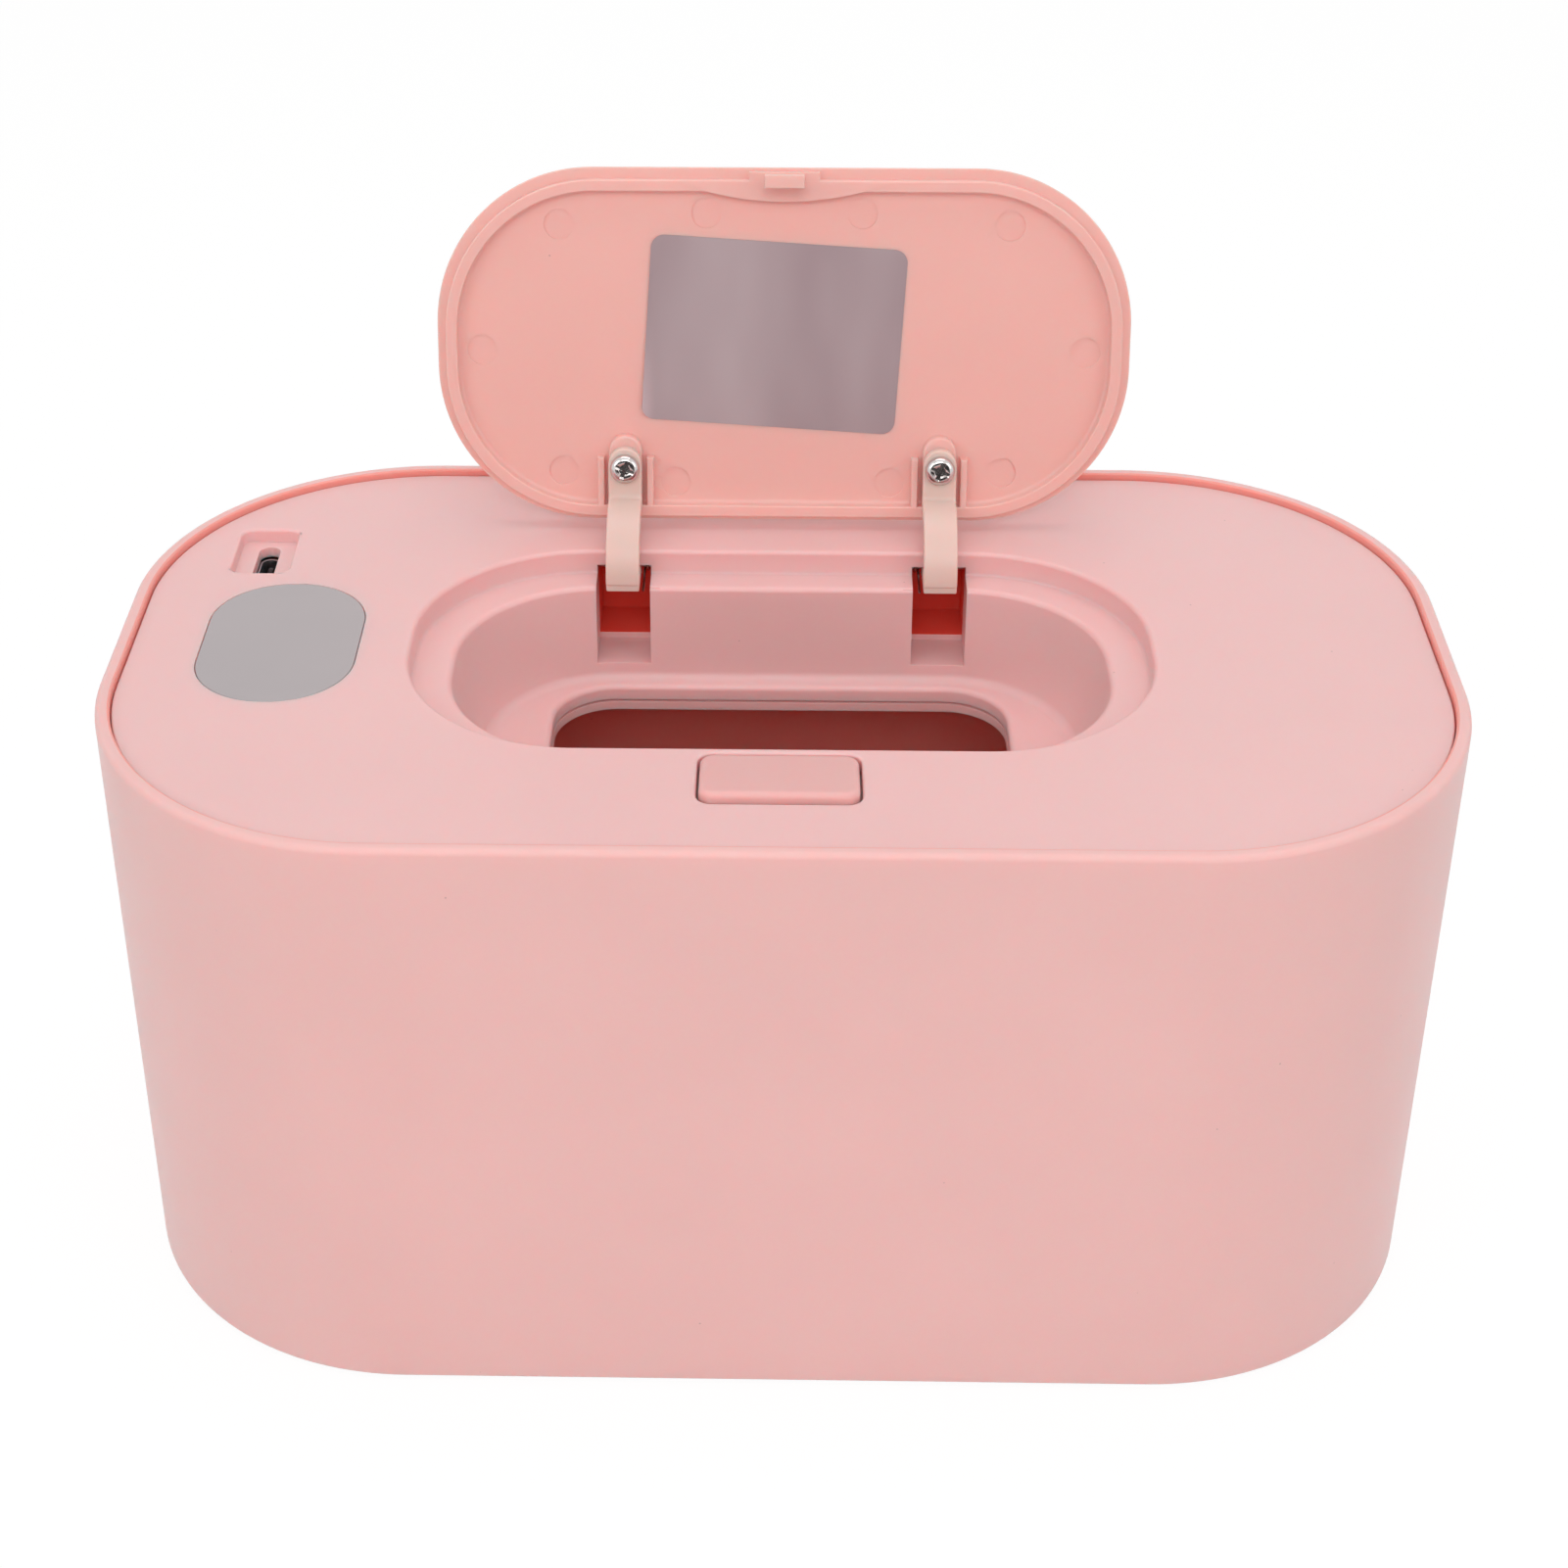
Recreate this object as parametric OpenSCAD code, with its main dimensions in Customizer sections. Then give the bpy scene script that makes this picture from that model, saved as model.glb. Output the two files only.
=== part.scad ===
// Heated dispenser for baby wipes: an oval tub, a lift-off top cover with a
// well and a dispensing opening, and a sprung lid on two goose-neck arms.
// The stored position is the photographed one: cover on, lid open.
// X is the width, the front is -Y, and Z = 0 is the underside of the pad.

/* [Tub] */
// Overall width of the tub
body_w = 196; // [184:1:214]
// Overall depth of the tub
body_d = 112; // [106:1:124]
// Overall height from the table to the rim
body_h = 95; // [84:1:112]
// Radius of the tub's corners, seen from above
corner_r = 43; // [38:1:48]
// Wall of the tub below the seat
tub_wall = 2.3; // [1.8:0.1:2.8]
// Floor of the tub
tub_floor = 2.4; // [1.8:0.1:4]
// Width of the rim that stands round the top cover
rim_t = 2.1; // [1.6:0.1:2.6]
// Rounding of the rim's outer edge
rim_r = 0.9; // [0.4:0.1:1.2]
// Rounding of the tub's bottom edge
foot_r = 0.5; // [0.4:0.1:2]
// How far the seat for the cover reaches in past the rim
seat_reach = 1.6; // [1.3:0.1:2.2]
// Height of the seat ring
seat_h = 4; // [2:0.5:8]

/* [Non-slip pad] */
// Width of the pad under the tub
pad_w = 124; // [90:1:150]
// Depth of the pad
pad_d = 56; // [40:1:76]
// Corner radius of the pad
pad_r = 20; // [8:1:20]
// Thickness of the pad
pad_t = 1.5; // [1:0.1:2]
// How far the pad stands out of the tub's underside
pad_proud = 0.3; // [0.2:0.1:0.8]

/* [Top cover] */
// Thickness of the top panel
panel_t = 2.4; // [2.2:0.1:3]
// How far the panel lies below the rim
panel_drop = 1; // [0.5:0.1:2]
// Wall of the skirt that hangs from the panel
skirt_t = 1.8; // [1.4:0.1:2.4]
// Width of the lid's seat in the panel
recess_w = 109; // [104:0.2:114]
// Depth, front to back, of the lid's seat
recess_d = 56.8; // [54.8:0.2:60]
// Corner radius of the lid's seat
recess_r = 25.5; // [22:0.5:27]
// How deep the lid's seat lies below the panel
recess_depth = 3.9; // [3.7:0.1:4.6]
// Wall round the lid's seat
recess_wall = 1.3; // [1:0.1:1.4]
// Thickness of the ledge that the lid closes on
ledge_t = 2.2; // [1.6:0.1:2.6]
// Half width of the well at the ledge
well_hw = 48.6; // [46:0.1:49.5]
// Half depth of the well at the ledge
well_hd = 23.7; // [22.6:0.1:24.2]
// Corner radius of the well at the ledge
well_r = 21; // [16:0.5:22]
// How much each end of the well slopes in
well_slope_x = 3.7; // [1:0.1:6]
// How much the well's front and back slope in
well_slope_y = 1.2; // [0.4:0.1:1.4]
// Depth of the well's floor below the panel
well_depth = 19.7; // [18.6:0.1:24]
// Thickness of the well's floor
well_floor = 2.5; // [1.6:0.1:3.5]
// Wall of the well
well_wall = 1.8; // [1.4:0.1:2]
// Width of the dispensing opening
mouth_w = 70; // [50:1:74]
// Depth, front to back, of the dispensing opening
mouth_d = 40.6; // [30:0.2:42]
// Corner radius of the dispensing opening
mouth_r = 9.5; // [4:0.5:12]

/* [Inner cover] */
// Thickness of the inner cover
inner_t = 1.4; // [1.2:0.1:2]
// Height of the rib that locates it in the skirt
inner_rib_h = 2; // [1:0.1:3]
// Thickness of that rib
inner_rib_t = 1.2; // [1:0.1:1.6]
// Thickness of the heat spreader sheet
sheet_t = 0.3; // [0.2:0.05:0.4]
// Thickness of the heating film
film_t = 0.3; // [0.2:0.05:0.4]

/* [Cover screws] */
// Radius of the threaded shank
cscrew_r = 1.25; // [1:0.05:1.5]
// Radius of the head
cscrew_head_r = 2.4; // [2.1:0.05:2.7]
// Height of the head
cscrew_head_h = 1.7; // [1.2:0.1:2]
// Length of the shank
cscrew_l = 8; // [6:0.5:10]
// Radius of the bosses that take the screws
boss_r = 3; // [2.6:0.1:3.4]
// Corner bosses, in from the tub's ends
boss_in_x = 20; // [19:0.5:24]
// Corner bosses, in from the tub's long sides
boss_in_y = 28; // [27:0.5:32]
// Side bosses, from the middle
boss_mid = 40; // [34:0.5:46]
// Side bosses, in from the tub's long sides
boss_edge = 15; // [14.8:0.1:16]

/* [Lid] */
// Corner radius of the lid
lid_r = 24.3; // [20:0.1:26]
// Gap round the lid at its two ends
lid_gap_side = 0.75; // [0.3:0.05:0.8]
// Gap in front of the closed lid
lid_gap_front = 0.4; // [0.35:0.05:0.8]
// Gap behind the closed lid
lid_gap_back = 1.4; // [1.4:0.05:2]
// Gap between the closed lid and the ledge
lid_seat = 0.3; // [0.2:0.05:0.5]
// Thickness of the lid's skin
lid_skin = 1.5; // [1.4:0.1:2.2]
// Rounding of the lid's outer edge
lid_round = 2; // [1.8:0.1:2.4]
// From the wall of the lid's seat to the rib under the lid
lid_rib_in = 2.15; // [1.9:0.05:2.4]
// Width of the rib
lid_rib = 1.75; // [1.2:0.05:2]
// How far the rib stands down from the lid's shoulder
lid_shoulder_h = 1.5; // [0.8:0.1:1.6]
// Face of the catch's hook, in from the lid's front edge
hook_in = 1.05; // [1:0.05:1.2]
// Width of the catch block at the lid's front
catch_w = 10.8; // [8:0.2:14]
// Width of the catch's hook
hook_w = 6; // [4:0.2:6.6]
// Thickness of the catch's hook
hook_t = 1.1; // [0.9:0.05:1.2]
// Half width of the crescent web behind the catch
web_hw = 16.7; // [12:0.1:20]
// How far the crescent web bulges in
web_bulge = 3; // [1.5:0.1:4]

/* [Sticker] */
// Length of the blank foil sticker under the lid
sticker_w = 39.6; // [20:0.2:44]
// Height of the sticker
sticker_h = 28.8; // [14:0.2:30]
// Corner radius of the sticker
sticker_r = 2; // [0.5:0.1:4]
// Thickness of the foil
sticker_t = 0.15; // [0.1:0.05:0.3]
// How far the sticker is turned from square, in degrees
sticker_turn = 3.5; // [0:0.5:6]

/* [Hinge] */
// Half the distance between the two arms
arm_x = 24.6; // [20:0.1:28]
// Pin axis behind the back edge of the lid's seat
hinge_back = 4.9; // [4.7:0.05:5.1]
// Pin axis below the panel
hinge_down = 4.4; // [4.3:0.05:4.5]
// How far the lid opens, in degrees
open_angle = 104.5; // [97:0.5:110]
// Outer radius of the arm's neck about the pin
neck_r = 10.4; // [9.8:0.1:10.8]
// Thickness of the arm
arm_t = 2; // [1.6:0.1:2]
// Width of the arm
arm_w = 5.2; // [4.4:0.1:5.6]
// Length of the boss that the arm is screwed to, from the lid's edge
tab_l = 13.6; // [12:0.1:15]
// How much shorter the arm's tab is than that boss
tab_short = 1.6; // [1:0.1:2.4]
// Length of the ribs beside the boss
side_rib_l = 8.5; // [7:0.1:9.5]
// Radius of the hinge pin
pin_r = 1; // [0.8:0.05:1.1]
// Radius of the arm's eye
eye_r = 2; // [1.9:0.05:2.1]
// Width of the slots that the arms swing in
slot_w = 8.4; // [8:0.1:9.6]
// Step between the slot's front floor and its back floor
slot_step = 1; // [0.6:0.1:1.2]
// Thickness of the floor under the slot
slot_floor = 1.6; // [1.2:0.1:2]
// Cheeks on both sides of a slot, and its back wall
cheek_t = 1.5; // [1.2:0.1:2]
// Radius of the hinge spring's wire
hspring_wire_r = 0.22; // [0.15:0.01:0.25]
// Play between the neck and the slot's floor
slot_play = 2.1; // [1:0.1:2.5]

/* [Lid screws] */
// Screw position from the lid's hinge edge
lscrew_in = 8.8; // [7.5:0.1:9.5]
// Radius of the pan head
lscrew_head_r = 2.3; // [1.9:0.05:2.4]
// Height of the pan head
lscrew_head_h = 1.3; // [1:0.1:1.6]
// Radius of the shank
lscrew_r = 0.95; // [0.8:0.05:1.1]
// Length of the shank
lscrew_l = 4.6; // [3.6:0.1:4.8]

/* [Button and latch] */
// Width of the button's opening
btn_w = 22.7; // [20:0.1:24]
// Depth, front to back, of the button's opening
btn_d = 12.6; // [12:0.1:13.4]
// Corner radius of the button's opening
btn_r = 2.2; // [1:0.1:3]
// Play round the button
btn_gap = 0.35; // [0.3:0.05:0.6]
// Panel left between the lid's seat and the opening
btn_bridge = 1.4; // [1.4:0.1:2]
// How far the button's back edge stands above the panel
btn_back = 0.1; // [0:0.05:0.4]
// How far the button's front edge stands above the panel
btn_front = 1.3; // [0.6:0.1:2]
// Stroke of the button
btn_stroke = 1.6; // [1:0.1:1.6]
// Thickness of the latch slider
slider_t = 1.6; // [1.2:0.1:2]
// Width of the latch slider
slider_w = 19.2; // [18.8:0.2:22]
// Width of the slider's nose
nose_w = 5.4; // [4:0.2:6.4]
// Height of the slider below the panel
slider_down = 7.4; // [7.2:0.1:8.2]
// Thickness of the plate under the slider
guide_t = 1.6; // [1.2:0.1:2]
// Gap between that plate's front edge and the skirt
guide_gap = 2.8; // [2:0.1:3.2]
// Height of the rails beside the slider
rail_h = 2.2; // [1.6:0.1:2.6]
// Thickness of the rails
rail_t = 1.2; // [1:0.1:1.4]
// Radius of the latch spring
lspring_r = 1.15; // [1:0.05:1.3]
// Radius of its wire
lspring_wire_r = 0.2; // [0.15:0.01:0.25]

/* [Touch window] */
// Centre of the window, in from the tub's left end
win_in = 24.1; // [20:0.1:26]
// Width of the window between its straight sides
win_w = 23.2; // [18:0.2:26]
// Length of the window, front to back
win_l = 34.2; // [30:0.2:38]
// Corner radius of the window
win_r = 11.2; // [6:0.2:11.4]
// Thickness of the window
win_t = 1.2; // [0.8:0.1:1.4]

/* [Charging port] */
// Centre of the port's recess, in from the tub's left end
port_in = 17.4; // [16:0.1:22]
// Centre of the port's recess, in from the tub's back
port_back = 28.4; // [28:0.1:32]
// Width of the recess
port_w = 9; // [8:0.1:11]
// Length of the recess
port_l = 13.8; // [12:0.1:16]
// Corner radius of the recess
port_r = 1.8; // [0.8:0.1:2.4]
// Depth of the recess
port_depth = 2.1; // [1.4:0.1:2.4]
// Floor of the recess
port_floor = 1.7; // [1.2:0.1:2.2]
// Width of the socket's metal shell
usb_w = 3.16; // [2.6:0.02:3.2]
// Length of the socket's metal shell
usb_l = 8.94; // [7:0.02:9]
// Wall of the metal shell
usb_t = 0.3; // [0.2:0.05:0.4]

/* [Control board] */
// Thickness of the board
pcb_t = 1.6; // [1:0.1:2]
// Width of the board
pcb_w = 27; // [24:0.5:29]
// Length of the board
pcb_l = 54; // [48:0.5:58]
// Height of the board's top below the panel
pcb_down = 10.5; // [9.5:0.1:12]
// Centre of the board, in from the tub's left end
pcb_in = 22.5; // [21:0.5:26]
// How far the board reaches behind the socket's centre
pcb_past = 6.1; // [5:0.1:7]
// Board's screws, in from its edges
pcb_hole_in = 3; // [2.6:0.1:4]
// Width of the display
led_w = 16; // [12:0.5:18]
// Depth of the display
led_d = 11.6; // [9:0.1:13]
// Centre of the display, behind the middle
led_y = 3; // [0:0.5:5]
// Centre of the touch spring, in front of the middle
touch_y = 9; // [8:0.5:12]
// Radius of the touch spring
touch_r = 2.9; // [2:0.1:3.4]
// Radius of its wire
touch_wire_r = 0.22; // [0.15:0.01:0.3]
// Radius of the small screws' shanks
bscrew_r = 0.9; // [0.8:0.05:1.1]
// Radius of their heads
bscrew_head_r = 1.8; // [1.5:0.1:2]
// Height of their heads
bscrew_head_h = 1.2; // [0.8:0.1:1.4]
// How deep they go into their posts
bscrew_in = 5; // [3:0.5:6]
// Radius of the posts that take them
post_r = 2.4; // [2.2:0.1:2.8]

/* [Heater parts] */
// Radius of the temperature sensor's bead
bead_r = 1.1; // [0.8:0.1:1.4]
// Length of the bead
bead_l = 4; // [3:0.5:6]
// Radius of the cut-out fuse
fuse_r = 1.9; // [1.5:0.1:2.2]
// Length of the fuse
fuse_l = 10; // [8:0.5:12]
// Radius of the fuse's end wires
fuse_wire_r = 0.45; // [0.3:0.05:0.6]
// Radius of the heater's wires
lead_r = 0.6; // [0.5:0.05:0.8]
// Radius of the sensor's wires
sense_r = 0.3; // [0.2:0.05:0.4]

/* [Fits] */
// Gap between the cover and the rim
seam_gap = 0.3; // [0.3:0.05:0.5]
// Gap between the skirt and the tub's seat ring
skirt_gap = 0.4; // [0.3:0.05:0.7]
// Play where flat faces rest on one another
rest_gap = 0.1; // [0.05:0.05:0.2]
// Running play between a pin and its bore
run_gap = 0.04; // [0.02:0.01:0.08]
// Play between loose neighbours
play = 0.3; // [0.3:0.05:0.4]

/* [Hidden] */

// Facets of small, middle and large arcs
fs = 32;
fm = 48;
fl = 96;
eps = 0.01;

// Heights
z_tub = pad_proud;
z_panel = body_h - panel_drop;
z_under = z_panel - panel_t;
z_seat = z_under - rest_gap;
z_ledge = z_panel - recess_depth;
z_ledge_b = z_ledge - ledge_t;
z_well = z_panel - well_depth;
z_well_b = z_well - well_floor;
z_inner_t = z_well_b - rest_gap - sheet_t;
z_inner = z_inner_t - inner_t;
z_sheet = z_inner_t;
z_film = z_sheet + sheet_t;
z_film_t = z_film + film_t;

// Outlines, all offset from the tub's outline
in_rim = rim_t;
in_panel = rim_t + seam_gap;
in_seat = rim_t + seat_reach;
in_skirt = in_seat + skirt_gap;
in_skirt_i = in_skirt + skirt_t;
in_rib = in_skirt_i + play;

// The lid when closed
lid_w = recess_w - 2 * lid_gap_side;
lid_d = recess_d - lid_gap_front - lid_gap_back;
lid_t = recess_depth - lid_seat;
lid_y = (lid_gap_front - lid_gap_back) / 2;
lid_back = recess_d / 2 - lid_gap_back;
lid_front = -recess_d / 2 + lid_gap_front;
z_lid = z_panel - lid_t;
z_skin = z_panel - lid_skin;

// The hinge
piv_y = recess_d / 2 + hinge_back;
piv_z = z_panel - hinge_down;
neck_i = neck_r - arm_t;
z_slot = piv_z - neck_r - slot_play;
z_tab = z_lid - arm_t;
leg_open = 174;
leg_turn = open_angle + leg_open;

// The catch and the latch
slot_front = -recess_d / 2;
hook_front = lid_front + hook_in;
hook_back = hook_front + hook_t;
lip_out = hook_front - 0.9;
z_slider = z_panel - slider_down - slider_t;
z_hook = z_slider - rest_gap * 2;
lip_h = 1.1;
nose_y = lip_out - 0.29 - play - 0.05;
btn_y0 = -recess_d / 2 - btn_bridge;
btn_y1 = btn_y0 - btn_d;
flange_t = 1.4;
z_flange = z_under - play - flange_t;
ramp_y = btn_y0 - 5.6;
slider_y1 = btn_y1 + 2.3;
z_guide = z_slider - play + rest_gap;
guide_y1 = guide_gap + in_skirt_i - body_d / 2;
spring_l = slider_y1 - guide_y1 - slider_t;
post_x = btn_w / 2 + 1 + post_r + play + 0.15;
post_y = btn_y0 - btn_d / 2 + 0.3;

// The board and what it carries
win_x = body_w / 2 - win_in;
port_x = body_w / 2 - port_in;
port_y = body_d / 2 - port_back;
pcb_x = pcb_in - body_w / 2;
pcb_y = port_y + pcb_past - pcb_l / 2;
z_pcb = z_panel - pcb_down;
pcb_hx = pcb_w / 2 - pcb_hole_in;
pcb_hy = pcb_l / 2 - pcb_hole_in;
post_pts = [[pcb_x + pcb_hx, pcb_y + pcb_hy - pcb_hole_in / 2], [pcb_x + pcb_hx, pcb_y - pcb_hy],
    [pcb_x - pcb_hx, pcb_y - pcb_hy + pcb_hole_in]];
z_port = z_panel - port_depth;

// The bosses that carry the inner cover
boss_x = body_w / 2 - boss_in_x;
boss_y = body_d / 2 - boss_in_y;
boss_y2 = body_d / 2 - boss_edge;
boss_pts = [[boss_x, -boss_y], [boss_x, boss_y], [boss_mid, -boss_y2], [boss_mid, boss_y2],
    [-boss_mid, boss_y2], [-boss_mid, -boss_y2], [-boss_x, -boss_y]];
cup_r = cscrew_head_r + play + 1.1;
cup_h = 4;

// Where the heater's small parts lie
lead_x = 40 - body_w / 2;
bead_x = 38 - body_w / 2;
bead_y = 23 - body_d / 2;

// A rounded rectangle about the origin
module rrect(w, d, r, n = fm) {
    square([w - 2 * r, d], center = true);
    square([w, d - 2 * r], center = true);
    for (x = [-1, 1], y = [-1, 1])
        translate([x * (w / 2 - r), y * (d / 2 - r)])
            circle(r, $fn = n);
}

// The tub's outline, drawn in by d
module outline(d) {
    rrect(body_w - 2 * d, body_d - 2 * d, corner_r - d, fl);
}

module slab(z0, z1) {
    translate([0, 0, z0])
        linear_extrude(z1 - z0)
            children();
}

// One side of a slab's section, rounded at the top by a and at the bottom by b
module edge_half(r, h, a, b) {
    translate([0, b])
        square([r - a, h - b]);
    square([r - b, h - a]);
    translate([0, b])
        square([r, h - a - b]);
    translate([r - a, h - a])
        intersection() {
            circle(a, $fn = fs);
            square(2 * a);
        }
    translate([r - b, b])
        intersection() {
            circle(b, $fn = fs);
            translate([0, -2 * b])
                square(2 * b);
        }
}

module edge_both(r, h, a, b) {
    edge_half(r, h, a, b);
    mirror([1, 0])
        edge_half(r, h, a, b);
}

// A rounded slab with soft upper and lower edges
module soft_slab(w, d, h, r, a, b, n = fm) {
    rotate([90, 0, 90])
        linear_extrude(w - 2 * r, center = true)
            edge_both(d / 2, h, a, b);
    rotate([90, 0, 0])
        linear_extrude(d - 2 * r, center = true)
            edge_both(w / 2, h, a, b);
    for (x = [-1, 1], y = [-1, 1])
        translate([x * (w / 2 - r), y * (d / 2 - r), 0])
            rotate_extrude($fn = n)
                edge_half(r, h, a, b);
}

// The well's sloping shape, grown by g, from height z0 up to z1
module well_form(g, z0, z1) {
    run = recess_depth - well_depth;
    function at(z) = (z - z_ledge) / run;
    hull()
        for (z = [z0, z1 - eps])
            translate([0, 0, z])
                linear_extrude(eps)
                    rrect(2 * (well_hw - well_slope_x * at(z) + g),
                        2 * (well_hd - well_slope_y * at(z) + g),
                        well_r - well_slope_y * at(z) + g, fs);
}

// A bar along X that follows a side view drawn in Y and Z
module side(w) {
    rotate([90, 0, 90])
        linear_extrude(w, center = true)
            children();
}

// Turns what is drawn for the closed lid to its stored, open place
module opened() {
    translate([0, piv_y, piv_z])
        rotate([-open_angle, 0, 0])
            translate([0, -piv_y, -piv_z])
                children();
}

// A round wire of radius r along the points p
function dir(p, i) =
    let (a = p[max(i - 1, 0)], b = p[min(i + 1, len(p) - 1)])
    (b - a) / norm(b - a);
function side_of(d) =
    let (u = abs(d.z) > 0.9 ? [0, 1, 0] : [0, 0, 1], c = cross(d, u))
    c / norm(c);
function frames(p, i = 0, s = undef, out = []) =
    i == len(p) ? out :
    let (
        d = dir(p, i),
        n0 = s == undef ? side_of(d) : s - (s * d) * d,
        n = n0 / norm(n0)
    )
    frames(p, i + 1, n, concat(out, [[n, cross(d, n)]]));
module wire(p, r, n = 6) {
    f = frames(p);
    rings = len(p);
    pts = [for (i = [0 : rings - 1], k = [0 : n - 1])
        p[i] + r * (cos(k * 360 / n) * f[i][0] + sin(k * 360 / n) * f[i][1])];
    walls = [for (i = [0 : rings - 2], k = [0 : n - 1], t = [0, 1])
        let (a = i * n + k, b = i * n + (k + 1) % n)
        t == 0 ? [a, b, b + n] : [a, b + n, a + n]];
    foot = [for (k = [1 : n - 2]) [0, k + 1, k]];
    head = [for (k = [1 : n - 2])
        [(rings - 1) * n, (rings - 1) * n + k, (rings - 1) * n + k + 1]];
    polyhedron(pts, concat(foot, walls, head), convexity = 6);
}

// A smooth run through four hand-placed points
function curve(a, b, c, d, n = 12) = [for (i = [0 : n])
    let (t = i / n, s = 1 - t)
    s * s * s * a + 3 * s * s * t * b + 3 * s * t * t * c + t * t * t * d];

// The tub: floor, wall, the seat ring under the cover and the rim round it
module body_shell() {
    color([0.93, 0.74, 0.72])
        difference() {
            translate([0, 0, z_tub])
                soft_slab(body_w, body_d, body_h - z_tub, corner_r, rim_r, foot_r, fl);
            slab(z_tub + tub_floor, z_seat - seat_h)
                outline(tub_wall);
            slab(z_seat - seat_h - 1, z_seat + 1)
                outline(in_seat);
            slab(z_seat, body_h + 1)
                outline(in_rim);
            slab(z_tub - 1, pad_t + eps)
                rrect(pad_w + 2 * rest_gap, pad_d + 2 * rest_gap, pad_r + rest_gap);
        }
}

// Soft pad let into the tub's underside
module base_pad() {
    color([0.85, 0.66, 0.65])
        slab(0, pad_t)
            rrect(pad_w, pad_d, pad_r);
}

// The hole for the latch button
module btn_hole(g) {
    translate([0, (btn_y0 + btn_y1) / 2])
        rrect(btn_w - 2 * g, btn_d - 2 * g, btn_r - g / 2, fs);
}

// The touch window's outline, grown by g
module win_shape(g) {
    translate([-win_x, 0])
        rrect(win_w + 2 * g, win_l + 2 * g, win_r + g, fl);
}

// A slot with round ends, lying along Y
module port_slot(w, l) {
    translate([-port_x, port_y])
        rrect(w, l, w / 2 - eps, fs);
}

module at_bosses() {
    for (p = boss_pts)
        translate([p.x, p.y, 0])
            children();
}

// The moulded top cover: panel, skirt, lid seat, well, hinge slots, bosses
module top_cover() {
    cheek_x = slot_w / 2 + cheek_t;
    step_y = recess_d / 2 + 2.2;
    pocket_y = piv_y + eye_r + 3.4;
    color([0.95, 0.78, 0.77])
        difference() {
            union() {
                slab(z_under, z_panel)
                    outline(in_panel);
                slab(z_inner_t + rest_gap, z_under + eps)
                    difference() {
                        outline(in_skirt);
                        outline(in_skirt_i);
                    }
                slab(z_ledge_b, z_under + eps)
                    rrect(recess_w + 2 * recess_wall, recess_d + 2 * recess_wall,
                        recess_r + recess_wall, fl);
                well_form(well_wall, z_well_b, z_ledge_b + eps);
                for (s = [-1, 1])
                    translate([s * arm_x - cheek_x, well_hd, z_slot - slot_floor])
                        cube([2 * cheek_x, pocket_y + cheek_t - well_hd, z_under - z_slot + slot_floor + eps]);
                at_bosses()
                    slab(z_inner_t + cup_h - inner_t + rest_gap, z_under + eps)
                        circle(boss_r, $fn = fs);
                for (p = post_pts)
                    translate([p.x, p.y, 0])
                        slab(z_pcb + rest_gap, z_under + eps)
                            circle(post_r, $fn = fs);
                for (s = [-1, 1])
                    translate([s * post_x, post_y, 0])
                        slab(z_guide + rest_gap, z_under + eps)
                            circle(post_r, $fn = fs);
                intersection() {
                    slab(z_port - port_floor, z_under + eps)
                        translate([-port_x, port_y])
                            square([port_w + 2.4, port_l + 2.4], center = true);
                    slab(z_port - port_floor, z_under + eps)
                        outline(in_skirt);
                }
            }
            slab(z_ledge, z_panel + 1)
                rrect(recess_w, recess_d, recess_r, fl);
            well_form(0, z_well, z_ledge + 0.5);
            slab(z_well_b - 1, z_well + 1)
                rrect(mouth_w, mouth_d, mouth_r);
            for (s = [-1, 1])
                translate([s * arm_x, 0, 0]) {
                    translate([-slot_w / 2, well_hd - 3.2, z_slot])
                        cube([slot_w, step_y - well_hd + 3.2, z_under - 0.1 - z_slot]);
                    translate([-slot_w / 2, step_y - 0.1, z_slot + slot_step])
                        cube([slot_w, pocket_y - step_y + 0.1, z_under + 0.6 - z_slot - slot_step]);
                    translate([0, piv_y, piv_z])
                        rotate([0, 90, 0])
                            cylinder(r = pin_r + run_gap / 2, h = 2 * cheek_x + 2, center = true, $fn = fs);
                }
            slab(z_ledge_b - 1, z_ledge + eps)
                translate([-(hook_w / 2 + 0.8), slot_front])
                    square([hook_w + 1.6, hook_back + 0.4 - slot_front]);
            slab(z_under - 1, z_panel + 1)
                btn_hole(0);
            slab(z_panel - win_t - rest_gap, z_panel + 1)
                win_shape(rest_gap);
            slab(z_under - 1, z_panel)
                translate([-win_x, led_y])
                    square([led_w + 1, led_d + 1], center = true);
            slab(z_under - 1, z_panel)
                translate([-win_x, -touch_y])
                    circle(touch_r + 1, $fn = fs);
            slab(z_port, z_panel + 1)
                translate([-port_x, port_y])
                    rrect(port_w, port_l, port_r, fs);
            slab(z_port - port_floor - 1, z_port + eps)
                port_slot(usb_w + 0.14, usb_l + 1.2);
            at_bosses()
                translate([0, 0, z_inner_t])
                    cylinder(r = cscrew_r + run_gap / 2, h = cscrew_l + 5, $fn = fs);
            for (p = post_pts)
                translate([p.x, p.y, z_pcb - 1])
                    cylinder(r = bscrew_r + run_gap / 2, h = 7.5, $fn = fs);
            for (s = [-1, 1])
                translate([s * post_x, post_y, z_guide - 1])
                    cylinder(r = bscrew_r + run_gap / 2, h = 6, $fn = fs);
        }
}

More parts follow.
